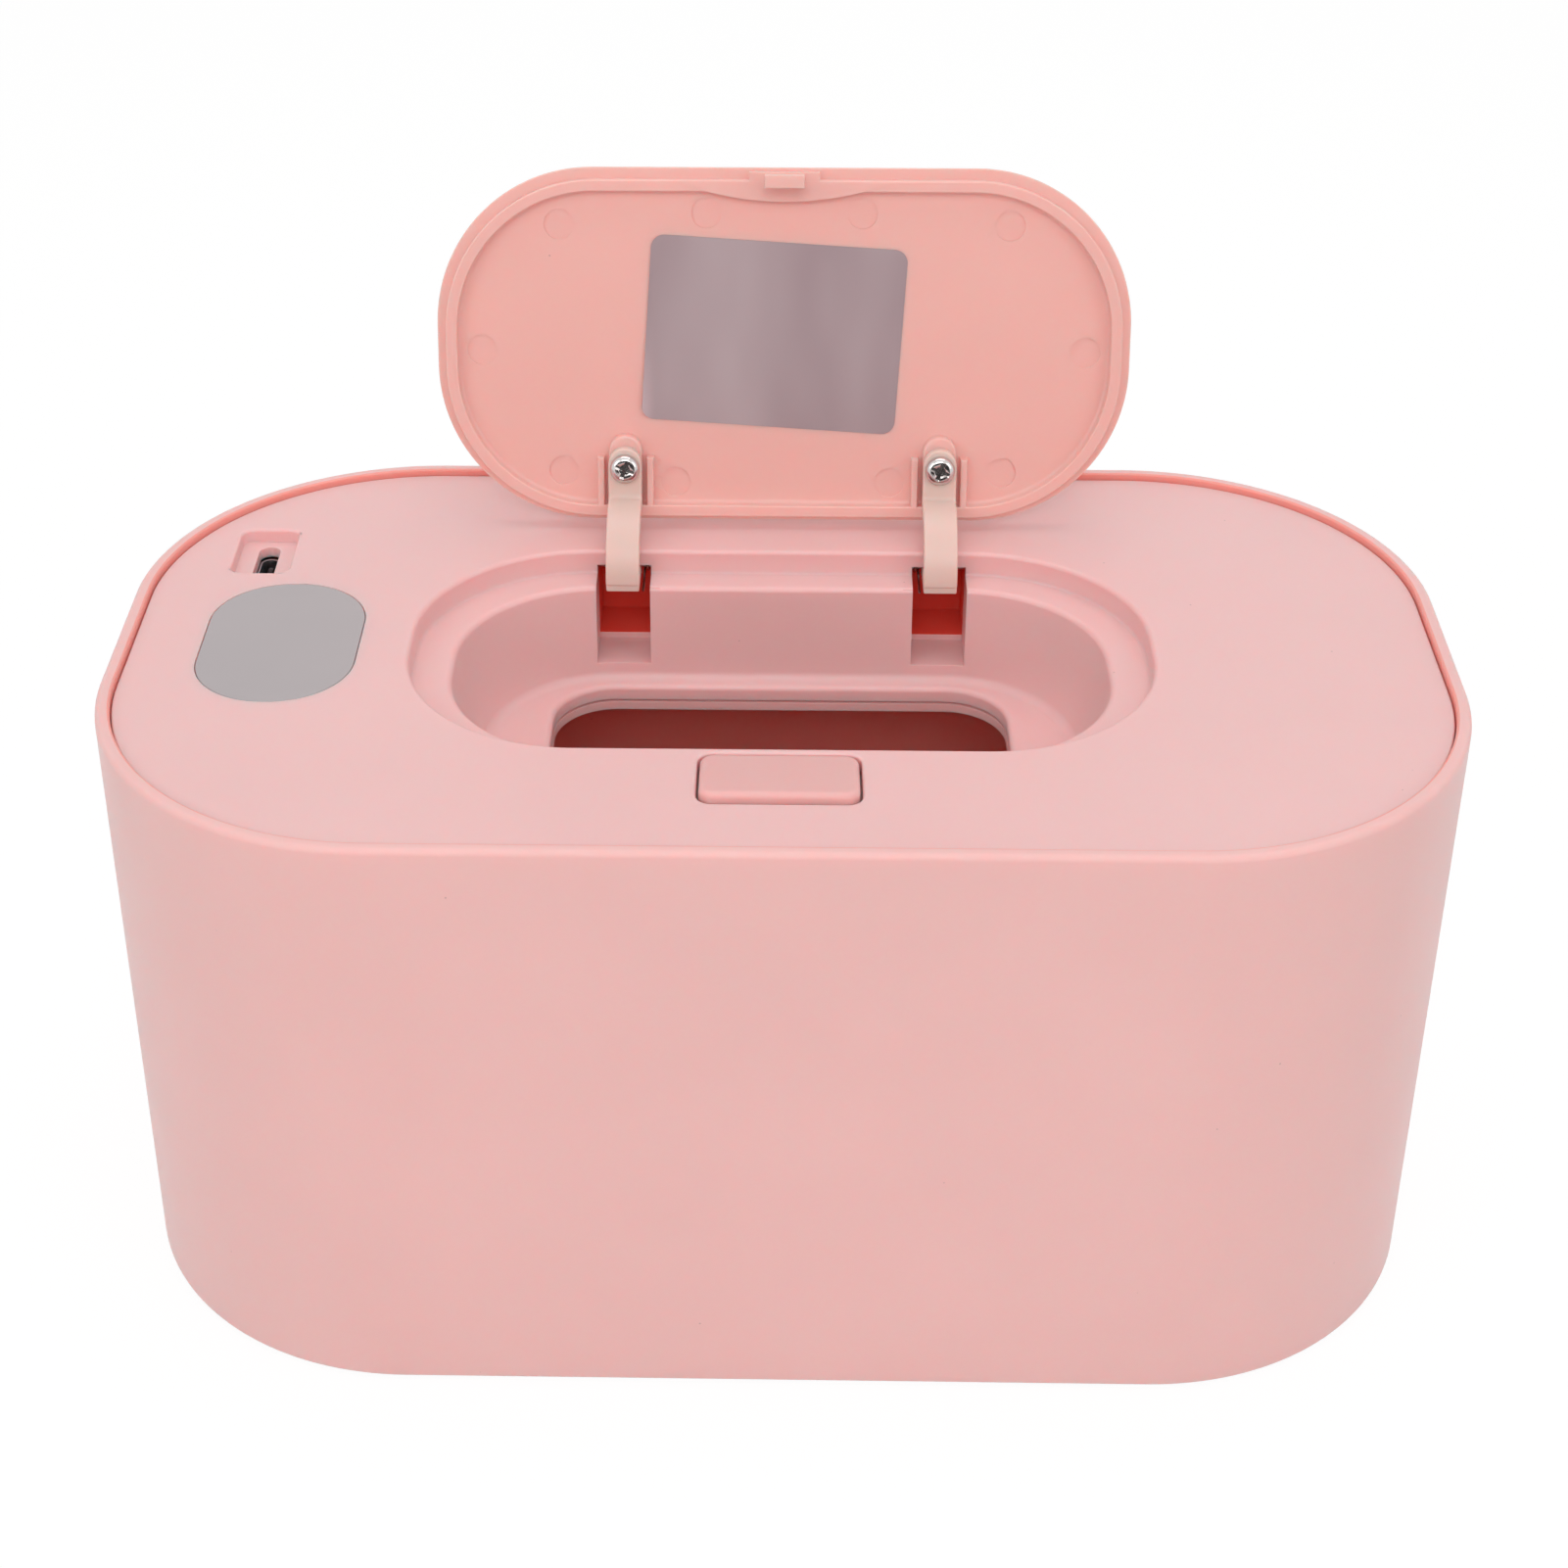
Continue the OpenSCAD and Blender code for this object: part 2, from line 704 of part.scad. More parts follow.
// Plate that closes the cover from below, with cups for the screw heads
module inner_cover() {
    color([0.9, 0.66, 0.64])
        difference() {
            union() {
                slab(z_inner, z_inner_t)
                    outline(in_skirt);
                slab(z_inner_t - eps, z_inner_t + inner_rib_h)
                    difference() {
                        outline(in_rib);
                        outline(in_rib + inner_rib_t);
                    }
                at_bosses()
                    slab(z_inner, z_inner + cup_h)
                        circle(cup_r, $fn = fs);
            }
            slab(z_inner - 1, z_inner_t + 1)
                rrect(mouth_w, mouth_d, mouth_r);
            at_bosses() {
                translate([0, 0, z_inner - 1])
                    cylinder(r = cscrew_head_r + play, h = cup_h - 1.6 + 1, $fn = fs);
                translate([0, 0, z_inner])
                    cylinder(r = cscrew_r + play / 2, h = cup_h + 1, $fn = fs);
            }
        }
}

// Cross-recessed screw: head below z = 0, shank above
module screw(r, l, hr, hh) {
    difference() {
        union() {
            cylinder(r = r, h = l, $fn = fs);
            translate([0, 0, -hh * 0.55])
                cylinder(r = hr, h = hh * 0.55, $fn = fs);
            translate([0, 0, -hh])
                cylinder(r1 = hr * 0.78, r2 = hr, h = hh * 0.46, $fn = fs);
        }
        for (a = [0, 90])
            rotate([0, 0, a])
                translate([-hr * 0.55, -hr * 0.14, -hh - 1])
                    cube([hr * 1.1, hr * 0.28, hh * 0.6 + 1]);
    }
}

module cover_screws() {
    color([0.72, 0.72, 0.74])
        at_bosses()
            translate([0, 0, z_inner + cup_h - 1.6])
                screw(cscrew_r, cscrew_l, cscrew_head_r, cscrew_head_h);
}

// The ring that the sheet and the film share
module heat_ring(d) {
    difference() {
        outline(in_rib + inner_rib_t + play + d);
        rrect(2 * (well_hw + 0.6 + d), 2 * (well_hd + 2.2 + d), well_r + 1, fm);
        for (p = boss_pts)
            translate([p.x, p.y])
                circle(cup_r + play + d, $fn = fs);
    }
}

// Aluminium sheet that spreads the heat over the inner cover
module heat_spreader() {
    color([0.8, 0.81, 0.83])
        slab(z_sheet, z_sheet + sheet_t)
            heat_ring(0);
}

// Flexible heating film on the sheet
module heating_film() {
    color([0.78, 0.45, 0.16])
        slab(z_film, z_film_t)
            heat_ring(1.2);
}

// Bead that measures the film's temperature
module thermistor() {
    color([0.16, 0.16, 0.17])
        translate([bead_x, bead_y, z_film_t + bead_r])
            rotate([0, 90, 0])
                cylinder(r = bead_r, h = bead_l, center = true, $fn = fs);
}

// Cut-out fuse lying on the film, with its two end wires
module thermal_fuse() {
    color([0.82, 0.8, 0.74])
        translate([lead_x, body_d / 2 - 20, z_film_t + fuse_r])
            rotate([0, 90, 0]) {
                cylinder(r = fuse_r, h = fuse_l, center = true, $fn = fs);
                cylinder(r = fuse_wire_r, h = 1.7 * fuse_l, center = true, $fn = fs);
            }
}

// Two wires from the film up to the board
module heater_leads() {
    z0 = z_film_t + lead_r + rest_gap;
    z1 = z_pcb - pcb_t;
    x1 = pcb_x + pcb_w / 2 - 5.5;
    for (s = [0, 1])
        let (y0 = pcb_y - 0.5 - 4 * s, y1 = pcb_y - 2.5 - 4 * s)
            color(s == 0 ? [0.75, 0.12, 0.1] : [0.1, 0.1, 0.1])
                wire(curve([lead_x, y0, z0], [lead_x - 5, y0, z0], [x1, y1, z1 - 6], [x1, y1, z1]), lead_r);
}

// Two thin wires from the thermistor up to the board
module sensor_leads() {
    z0 = z_film_t + bead_r;
    z1 = z_pcb - pcb_t;
    x0 = bead_x - bead_l / 2;
    y1 = pcb_y - pcb_l / 2 + 7.5;
    for (s = [0, 1])
        let (y0 = bead_y + (s - 0.5) * bead_r * 0.9, x1 = pcb_x + 2 * s)
            color([0.9, 0.9, 0.88])
                wire(curve([x0, y0, z0], [x0 - 5, y0, z0], [x1, y1, z1 - 6], [x1, y1, z1]), sense_r);
}

// The board under the panel's left end
module control_board() {
    color([0.12, 0.4, 0.22])
        difference() {
            intersection() {
                slab(z_pcb - pcb_t, z_pcb)
                    translate([pcb_x, pcb_y])
                        square([pcb_w, pcb_l], center = true);
                slab(z_pcb - pcb_t, z_pcb)
                    outline(in_skirt_i + 2 * play);
            }
            for (p = post_pts)
                translate([p.x, p.y, z_pcb - pcb_t - 1])
                    cylinder(r = bscrew_r + play / 2, h = pcb_t + 2, $fn = fs);
        }
}

module board_screws() {
    color([0.72, 0.72, 0.74])
        for (p = post_pts)
            translate([p.x, p.y, z_pcb - pcb_t])
                screw(bscrew_r, pcb_t + bscrew_in, bscrew_head_r, bscrew_head_h);
}

// The chip that runs the display and the heater
module control_chip() {
    color([0.1, 0.1, 0.11])
        translate([pcb_x - 6, pcb_y - 10, z_pcb - pcb_t - 1.2])
            cube([5, 6.4, 1.2]);
}

// The transistor that switches the film
module heater_switch() {
    color([0.13, 0.13, 0.14])
        translate([pcb_x - 2, pcb_y + 6, z_pcb - pcb_t - 2.3])
            cube([6.5, 6, 2.3]);
}

// Two-digit display under the window
module led_display() {
    color([0.14, 0.14, 0.15])
        translate([-win_x - led_w / 2, led_y - led_d / 2, z_pcb])
            cube([led_w, led_d, z_panel - win_t - 2 * rest_gap - z_pcb]);
}

// Coil that carries the touch from the window to the board
module touch_spring() {
    top = z_panel - win_t - 2 * rest_gap - touch_wire_r;
    bottom = z_pcb + touch_wire_r;
    turns = 6;
    color([0.8, 0.78, 0.7])
        wire([for (i = [0 : turns * 10])
            [-win_x + touch_r * cos(i * 36), -touch_y + touch_r * sin(i * 36),
                bottom + (top - bottom) * i / (turns * 10)]], touch_wire_r);
}

// Grey window, flush with the panel
module touch_window() {
    color([0.7, 0.69, 0.7])
        slab(z_panel - win_t, z_panel)
            win_shape(0);
}

// Metal shell of the charging socket, standing on the board
module usb_shell() {
    color([0.78, 0.78, 0.8])
        difference() {
            slab(z_pcb, z_port - port_floor - rest_gap)
                port_slot(usb_w, usb_l);
            slab(z_pcb + 1, z_port)
                port_slot(usb_w - 2 * usb_t, usb_l - 2 * usb_t);
        }
}

// Black tongue inside the socket
module usb_insulator() {
    color([0.06, 0.06, 0.07])
        translate([-port_x, port_y, z_pcb + 1]) {
            slab(0, 0.9)
                rrect(usb_w - 2 * usb_t - 0.1, usb_l - 2 * usb_t - 0.1, 1.1, fs);
            slab(0.8, z_port - port_floor - z_pcb - 2.2)
                square([0.7, usb_l - 2.4], center = true);
        }
}

// The push button: a wedge-topped cap, a flange under the panel, two ramps
module latch_button() {
    y0 = btn_y0 - btn_gap;
    y1 = btn_y1 + btn_gap;
    ramp_w = 2;
    color([0.95, 0.77, 0.76])
        union() {
            difference() {
                union() {
                    intersection() {
                        slab(z_flange, z_panel + btn_front + 1)
                            btn_hole(btn_gap);
                        side(btn_w + 2)
                            polygon([[y0 + 1, z_flange - 1], [y1 - 1, z_flange - 1],
                                [y1 - 1, z_panel + btn_front], [y1, z_panel + btn_front],
                                [y0, z_panel + btn_back], [y0 + 1, z_panel + btn_back]]);
                    }
                    slab(z_flange, z_flange + flange_t)
                        translate([-btn_w / 2 - 1, y1 - 1])
                            square([btn_w + 2, y0 - y1 + 1]);
                }
                translate([-btn_w / 2 + 1.6, y1 + 1.2, z_flange - 1])
                    cube([btn_w - 3.2, y0 - y1 - 2.4, z_under + 1 - z_flange + 1]);
            }
            for (s = [-1, 1])
                translate([s * 7, 0, 0])
                    side(ramp_w)
                        polygon([[ramp_y + 0.28 - 0.4, z_slider + slider_t + 0.4],
                            [ramp_y + 1.9, z_slider + slider_t + 0.4],
                            [ramp_y + 1.9, z_under + 1.1],
                            [ramp_y + 0.28 - (z_under + 1.1 - z_slider - slider_t), z_under + 1.1]]);
        }
}

// The slider that the ramps push away from the lid's hook
module latch_slider() {
    top = z_slider + slider_t;
    color([0.9, 0.88, 0.85])
        union() {
            difference() {
                union() {
                    slab(z_slider, top)
                        translate([-slider_w / 2, slider_y1])
                            square([slider_w, btn_y0 - 1 - slider_y1]);
                    slab(z_slider, top)
                        translate([-nose_w / 2, slider_y1])
                            square([nose_w, nose_y - slider_y1]);
                }
                for (s = [-1, 1])
                    translate([s * 7 - 1.4, ramp_y, z_slider - 1])
                        cube([2.8, 3.9, slider_t + 2]);
            }
            for (s = [-1, 1])
                translate([s * 7, 0, 0])
                    side(2.4)
                        polygon([[ramp_y, top - 0.2], [ramp_y, top], [ramp_y - 2.8, top + 2.8],
                            [ramp_y - 2.8, top - 0.2]]);
            translate([-3, slider_y1, z_slider])
                cube([6, 1.2, 3]);
        }
}

// The spring that pushes the slider and the button back
module latch_spring() {
    y0 = slider_y1 - 0.2;
    y1 = slider_y1 - spring_l + 0.2;
    zc = z_slider + 1.5;
    turns = 6;
    color([0.75, 0.75, 0.78])
        wire([for (i = [0 : turns * 8])
            [lspring_r * cos(i * 45), y0 + (y1 - y0) * i / (turns * 8), zc + lspring_r * sin(i * 45)]],
            lspring_wire_r);
}

// Plate screwed under the cover that carries the slider and its spring
module latch_guide() {
    y0 = btn_y0 - 1.2;
    rail_x = slider_w / 2 + play;
    color([0.88, 0.86, 0.84])
        difference() {
            union() {
                slab(z_guide - guide_t, z_guide)
                    translate([-post_x - post_r - 0.6, guide_y1])
                        square([2 * (post_x + post_r + 0.6), y0 - guide_y1]);
                for (s = [-1, 1])
                    translate([s > 0 ? rail_x : -rail_x - rail_t, slider_y1 - btn_stroke - 0.4, z_guide - eps])
                        cube([rail_t, y0 - slider_y1 + btn_stroke + 0.4, rail_h]);
                translate([-nose_w * 0.75, guide_y1, z_guide - eps])
                    cube([nose_w * 1.5, slider_t - 0.2, 2 * slider_t]);
            }
            for (s = [-1, 1])
                translate([s * post_x, post_y, z_guide - guide_t - 1])
                    cylinder(r = bscrew_r + play / 2, h = guide_t + 2, $fn = fs);
        }
}

module guide_screws() {
    color([0.72, 0.72, 0.74])
        for (s = [-1, 1])
            translate([s * post_x, post_y, z_guide - guide_t])
                screw(bscrew_r, guide_t + bscrew_in - 1, bscrew_head_r, bscrew_head_h);
}

// The hinge boss under the lid, the same outline as the arm's tab
module tab_shape(l, y1) {
    y0 = lid_back - l + arm_w / 2;
    translate([0, y0])
        circle(arm_w / 2, $fn = fs);
    translate([-arm_w / 2, y0])
        square([arm_w, y1 - y0]);
}

// The outline of the lid's seat, drawn in by d
module seat_outline(d) {
    rrect(recess_w - 2 * d, recess_d - 2 * d, recess_r - d, fl);
}

// The lid: skin with a shoulder, the rib under it, hinge bosses with their ribs, catch and web
module lid() {
    rib_y = recess_d / 2 - lid_rib_in;
    boss_y = rib_y - lid_rib / 2;
    web_y = 0.2 - rib_y;
    catch_y = lid_front + hook_in / 2;
    web_rad = (web_hw * web_hw + web_bulge * web_bulge) / (2 * web_bulge);
    color([0.95, 0.74, 0.7])
        opened()
            difference() {
                union() {
                    difference() {
                        translate([0, lid_y, z_lid])
                            soft_slab(lid_w, lid_d, lid_t, lid_r, lid_round, 0.2, fl);
                        slab(z_lid - 1, z_skin)
                            seat_outline(lid_rib_in + lid_rib);
                        slab(z_lid - 1, z_lid + lid_shoulder_h)
                            difference() {
                                seat_outline(-1);
                                seat_outline(lid_rib_in);
                            }
                    }
                    for (s = [-1, 1])
                        translate([s * arm_x, 0, 0]) {
                            slab(z_lid, z_skin + eps)
                                tab_shape(tab_l, boss_y);
                            for (c = [-1, 1])
                                translate([c * (arm_w / 2 + 1.25) - 0.55, boss_y - side_rib_l, z_lid])
                                    cube([1.1, side_rib_l, z_skin + eps - z_lid]);
                        }
                    slab(z_lid, z_skin + eps)
                        intersection() {
                            translate([0, web_y + web_bulge - web_rad])
                                circle(web_rad, $fn = fl * 2);
                            translate([-web_hw, web_y])
                                square([2 * web_hw, web_bulge + 1]);
                        }
                    slab(z_lid, z_skin + eps)
                        translate([-catch_w / 2, catch_y])
                            square([catch_w, 0.45 - rib_y - catch_y]);
                    slab(z_hook - lip_h, z_lid + eps)
                        translate([-hook_w / 2, hook_front])
                            square([hook_w, hook_t]);
                    slab(z_hook - lip_h, z_hook)
                        translate([-hook_w / 2, lip_out])
                            square([hook_w, hook_front - lip_out + eps]);
                }
                for (s = [-1, 1])
                    translate([s * arm_x, lid_back - lscrew_in, z_lid - 1])
                        cylinder(r = lscrew_r + run_gap / 2, h = lscrew_l - arm_t + 1.1, $fn = fs);
            }
}

// Blank silver foil under the lid
module lid_sticker() {
    color([0.74, 0.71, 0.72])
        opened()
            translate([-1.5, lid_y - 1.7, 0])
                rotate([0, 0, sticker_turn])
                    slab(z_skin - sticker_t, z_skin)
                        rrect(sticker_w, sticker_h, sticker_r, fs);
}

// A goose-neck arm: tab on the lid, neck round the pin, leg and eye
module hinge_arm() {
    far = 3 * neck_r;
    color([0.93, 0.87, 0.84])
        opened()
            difference() {
                union() {
                    slab(z_tab, z_lid)
                        tab_shape(tab_l - tab_short, piv_y - neck_i);
                    side(arm_w)
                        translate([piv_y, piv_z]) {
                            intersection() {
                                difference() {
                                    circle(neck_r, $fn = fl);
                                    circle(neck_i, $fn = fl);
                                }
                                polygon([[0, 0], [-far, 0], [-far, -far], [0, -far],
                                    [far * cos(leg_turn), far * sin(leg_turn)]]);
                            }
                            rotate(leg_turn)
                                translate([0, -arm_t / 2])
                                    square([neck_r - 0.2, arm_t]);
                            circle(eye_r, $fn = fm);
                            translate([-neck_r + 0.1, z_tab - piv_z])
                                square([arm_t - 0.1, z_lid - z_tab]);
                        }
                }
                translate([0, piv_y, piv_z])
                    rotate([0, 90, 0])
                        cylinder(r = pin_r + run_gap, h = arm_w + 2, center = true, $fn = fs);
                translate([0, lid_back - lscrew_in, z_tab - 1])
                    cylinder(r = lscrew_r + play / 2, h = arm_t + 2, $fn = fs);
            }
}

module hinge_arm_left() {
    translate([-arm_x, 0, 0])
        hinge_arm();
}

module hinge_arm_right() {
    translate([arm_x, 0, 0])
        hinge_arm();
}

module lid_screws() {
    color([0.8, 0.8, 0.82])
        opened()
            for (s = [-1, 1])
                translate([s * arm_x, lid_back - lscrew_in, z_tab])
                    screw(lscrew_r, lscrew_l, lscrew_head_r, lscrew_head_h);
}

// The pins that the arms turn on, held in the cheeks
module hinge_pins() {
    color([0.76, 0.76, 0.78])
        for (s = [-1, 1])
            translate([s * arm_x, piv_y, piv_z])
                rotate([0, 90, 0])
                    cylinder(r = pin_r, h = slot_w + 2 * cheek_t, center = true, $fn = fs);
}

// Wound springs on the pins that swing the lid open: one leg lies beside the
// arm's leg, the other bears on the panel's underside
module hinge_springs() {
    r = pin_r + hspring_wire_r + 0.2;
    steps = 21;
    x0 = arm_w / 2 + hspring_wire_r + 0.18;
    x1 = slot_w / 2 - hspring_wire_r - 0.18;
    coil = [for (i = [0 : steps])
        [x0 + (x1 - x0) * i / steps, r * cos(270 + i * 450 / steps), r * sin(270 + i * 450 / steps)]];
    color([0.75, 0.75, 0.78])
        for (s = [-1, 1])
            translate([s * arm_x, piv_y, piv_z])
                mirror([s > 0 ? 1 : 0, 0, 0])
                    wire(concat([[x0, -0.68 * neck_r, -r], [x0, -0.4 * neck_r, -r], [x0, -0.2 * neck_r, -r]],
                        coil, [[x1, r, 0.5 * eye_r], [x1, r, 1.1 * eye_r]]), hspring_wire_r);
}

body_shell();
base_pad();
top_cover();
inner_cover();
cover_screws();
heat_spreader();
heating_film();
thermistor();
thermal_fuse();
heater_leads();
sensor_leads();
control_board();
board_screws();
control_chip();
heater_switch();
led_display();
touch_spring();
touch_window();
usb_shell();
usb_insulator();
latch_button();
latch_slider();
latch_spring();
latch_guide();
guide_screws();
lid();
lid_sticker();
hinge_arm_left();
hinge_arm_right();
lid_screws();
hinge_pins();
hinge_springs();
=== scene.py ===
# A pink heated dispenser for baby wipes: an oval tub, a lift-off top cover with
# a well, and a sprung lid standing open on two milky arms. It is put together
# here from the tub upwards, in the pose of the photograph.
import math

import bmesh
import bpy
from mathutils import Matrix, Vector


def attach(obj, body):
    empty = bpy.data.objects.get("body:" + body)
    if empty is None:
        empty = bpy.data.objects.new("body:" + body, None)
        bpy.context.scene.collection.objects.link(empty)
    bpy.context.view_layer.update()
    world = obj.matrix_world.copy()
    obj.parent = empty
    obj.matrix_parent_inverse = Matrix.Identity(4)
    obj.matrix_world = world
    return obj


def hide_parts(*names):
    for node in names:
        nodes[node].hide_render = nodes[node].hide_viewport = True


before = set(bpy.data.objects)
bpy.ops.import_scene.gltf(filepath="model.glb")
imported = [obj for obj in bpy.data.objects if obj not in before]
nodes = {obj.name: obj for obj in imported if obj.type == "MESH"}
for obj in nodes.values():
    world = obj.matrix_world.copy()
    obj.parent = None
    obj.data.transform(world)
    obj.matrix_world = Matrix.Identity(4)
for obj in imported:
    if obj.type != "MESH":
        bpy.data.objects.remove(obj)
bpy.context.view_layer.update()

scene = bpy.context.scene
MM = 0.001


# The camera
# It stands in front and 32 degrees above, where the photograph was taken. The
# photograph is cropped off centre, and the lens shift gives the same crop.
scene.view_settings.view_transform = "Standard"
camera_aim = Vector((-8.23, 0, 79.86)) * MM
camera_away = 430.43 * MM
camera_pan, camera_down, camera_roll = 0.0233, 0.5594, -0.0039
lens = bpy.data.cameras.new("camera")
lens.sensor_width = 36
lens.lens = 65.82
lens.shift_x = 0.0375
lens.shift_y = -0.0375
lens.clip_start = 0.01
lens.clip_end = 20
camera = bpy.data.objects.new("camera", lens)
scene.collection.objects.link(camera)
camera_turn = (
    Matrix.Rotation(camera_pan, 4, "Z")
    @ Matrix.Rotation(math.pi / 2 - camera_down, 4, "X")
    @ Matrix.Rotation(camera_roll, 4, "Z")
)
camera.matrix_world = (Matrix.Translation(camera_aim) @ camera_turn
    @ Matrix.Translation((0, 0, camera_away)))
scene.camera = camera


# The light
# An even white room with four large soft lamps: one above and behind, one above
# the camera that reaches into the well, and one at each side in front.
room = bpy.data.worlds.new("white_room")
scene.world = room
room.use_nodes = True
tree = room.node_tree
tree.nodes.clear()
room_out = tree.nodes.new("ShaderNodeOutputWorld")
room_mix = tree.nodes.new("ShaderNodeMixShader")
room_light = tree.nodes.new("ShaderNodeBackground")
room_seen = tree.nodes.new("ShaderNodeBackground")
ray = tree.nodes.new("ShaderNodeLightPath")
seen_straight = tree.nodes.new("ShaderNodeMath")
seen_straight.operation = "MAXIMUM"
seen_through = tree.nodes.new("ShaderNodeMath")
seen_through.operation = "MAXIMUM"
room_light.inputs["Color"].default_value = (1, 0.985, 0.975, 1)
room_light.inputs["Strength"].default_value = 0.5
room_seen.inputs["Color"].default_value = (1, 1, 1, 1)
room_seen.inputs["Strength"].default_value = 1
tree.links.new(ray.outputs["Is Camera Ray"], seen_straight.inputs[0])
tree.links.new(ray.outputs["Is Glossy Ray"], seen_straight.inputs[1])
tree.links.new(seen_straight.outputs[0], seen_through.inputs[0])
tree.links.new(ray.outputs["Is Transmission Ray"], seen_through.inputs[1])
tree.links.new(seen_through.outputs[0], room_mix.inputs[0])
tree.links.new(room_light.outputs[0], room_mix.inputs[1])
tree.links.new(room_seen.outputs[0], room_mix.inputs[2])
tree.links.new(room_mix.outputs[0], room_out.inputs[0])


def soft_lamp(name, place, aim, width, height, power):
    lamp = bpy.data.lights.new(name, "AREA")
    lamp.shape = "RECTANGLE"
    lamp.size = width
    lamp.size_y = height
    lamp.energy = power
    stand = bpy.data.objects.new(name, lamp)
    scene.collection.objects.link(stand)
    stand.location = place
    stand.rotation_euler = (Vector(aim) - Vector(place)).to_track_quat("-Z", "Y").to_euler()


soft_lamp("lamp_above", (0.05, 0.25, 1.1), (0, 0, 0.1), 0.9, 0.7, 2.8)
soft_lamp("lamp_by_camera", (0.0, -0.95, 0.85), (0, 0, 0.09), 0.5, 0.4, 3.0)
soft_lamp("lamp_front_left", (-0.8, -0.9, 0.75), (0, 0, 0.08), 0.7, 0.6, 2.4)
soft_lamp("lamp_front_right", (0.9, -0.8, 0.7), (0, 0, 0.08), 0.6, 0.6, 1.8)

# only mirrored rays meet this black card, which gives the bright screws a dark side
bpy.ops.object.select_all(action="DESELECT")
bpy.ops.mesh.primitive_plane_add(size=1, location=(0.05, -1.0, 0.28),
    rotation=(math.radians(75), 0, 0))
card = bpy.context.object
card.name = "black_card"
card.scale = (0.9, 0.42, 1)
bpy.ops.object.transform_apply(location=True, rotation=True, scale=True)
card_paint = bpy.data.materials.new("black_card")
card_paint.use_nodes = True
shader = card_paint.node_tree.nodes["Principled BSDF"]
shader.inputs["Base Color"].default_value = (0.02, 0.015, 0.015, 1)
shader.inputs["Roughness"].default_value = 0.9
card.data.materials.append(card_paint)
card.visible_camera = False
card.visible_diffuse = False
card.visible_shadow = False
card.visible_transmission = False


# The table
# A wide white sheet. Seen straight it is white, as in the photograph, and it
# keeps a part of the soft shadow that the tub throws on it.
bpy.ops.object.select_all(action="DESELECT")
bpy.ops.mesh.primitive_plane_add(size=6, location=(0, 0, -0.0002))
table = bpy.context.object
table.name = "table"
bpy.ops.object.transform_apply(location=True, rotation=True, scale=True)
table_paint = bpy.data.materials.new("white_table")
table_paint.use_nodes = True
tree = table_paint.node_tree
tree.nodes.clear()
paint_out = tree.nodes.new("ShaderNodeOutputMaterial")
paint_mix = tree.nodes.new("ShaderNodeMixShader")
paint = tree.nodes.new("ShaderNodeBsdfDiffuse")
glow = tree.nodes.new("ShaderNodeEmission")
ray = tree.nodes.new("ShaderNodeLightPath")
mirrored = tree.nodes.new("ShaderNodeMath")
mirrored.operation = "MAXIMUM"
straight = tree.nodes.new("ShaderNodeMath")
straight.operation = "MULTIPLY"
straight.inputs[1].default_value = 0.88
paint.inputs["Color"].default_value = (0.88, 0.88, 0.88, 1)
glow.inputs["Strength"].default_value = 1.04
tree.links.new(ray.outputs["Is Camera Ray"], mirrored.inputs[0])
tree.links.new(ray.outputs["Is Glossy Ray"], mirrored.inputs[1])
tree.links.new(mirrored.outputs[0], straight.inputs[0])
tree.links.new(straight.outputs[0], paint_mix.inputs[0])
tree.links.new(paint.outputs[0], paint_mix.inputs[1])
tree.links.new(glow.outputs[0], paint_mix.inputs[2])
tree.links.new(paint_mix.outputs[0], paint_out.inputs[0])
table.data.materials.append(table_paint)


# The tub
# One thick injection moulding in pink ABS, matt and slightly grainy, with
# straight walls, a seat ring for the cover and a thin rim that stands round it.
def pick(*pieces):
    bpy.ops.object.select_all(action="DESELECT")
    for piece in pieces:
        piece.select_set(True)
    bpy.context.view_layer.objects.active = pieces[0]


def put_down(piece, place):
    # moves a piece and keeps the move in its mesh
    piece.matrix_world = place
    pick(piece)
    bpy.ops.object.transform_apply(location=True, rotation=True, scale=True)


def rounded_sheet(width, depth, corner, height, centre, steps):
    # stays in edit mode, with its one face selected
    bpy.ops.object.select_all(action="DESELECT")
    bpy.ops.mesh.primitive_plane_add(size=1, location=(centre[0] * MM, centre[1] * MM, height * MM))
    sheet = bpy.context.object
    sheet.scale = (width * MM, depth * MM, 1)
    bpy.ops.object.transform_apply(location=True, rotation=True, scale=True)
    bpy.ops.object.mode_set(mode="EDIT")
    bpy.ops.mesh.select_all(action="SELECT")
    bpy.ops.mesh.bevel(offset=corner * MM, segments=steps, affect="VERTICES")
    bpy.ops.mesh.select_all(action="SELECT")
    return sheet


def apply_modifier(piece, kind, **settings):
    modifier = piece.modifiers.new(kind.lower(), kind)
    for key, value in settings.items():
        setattr(modifier, key, value)
    pick(piece)
    bpy.ops.object.modifier_apply(modifier=modifier.name)


def smooth(piece):
    pick(piece)
    bpy.ops.object.shade_smooth_by_angle(angle=math.radians(32))
    apply_modifier(piece, "WEIGHTED_NORMAL", keep_sharp=True, weight=60)


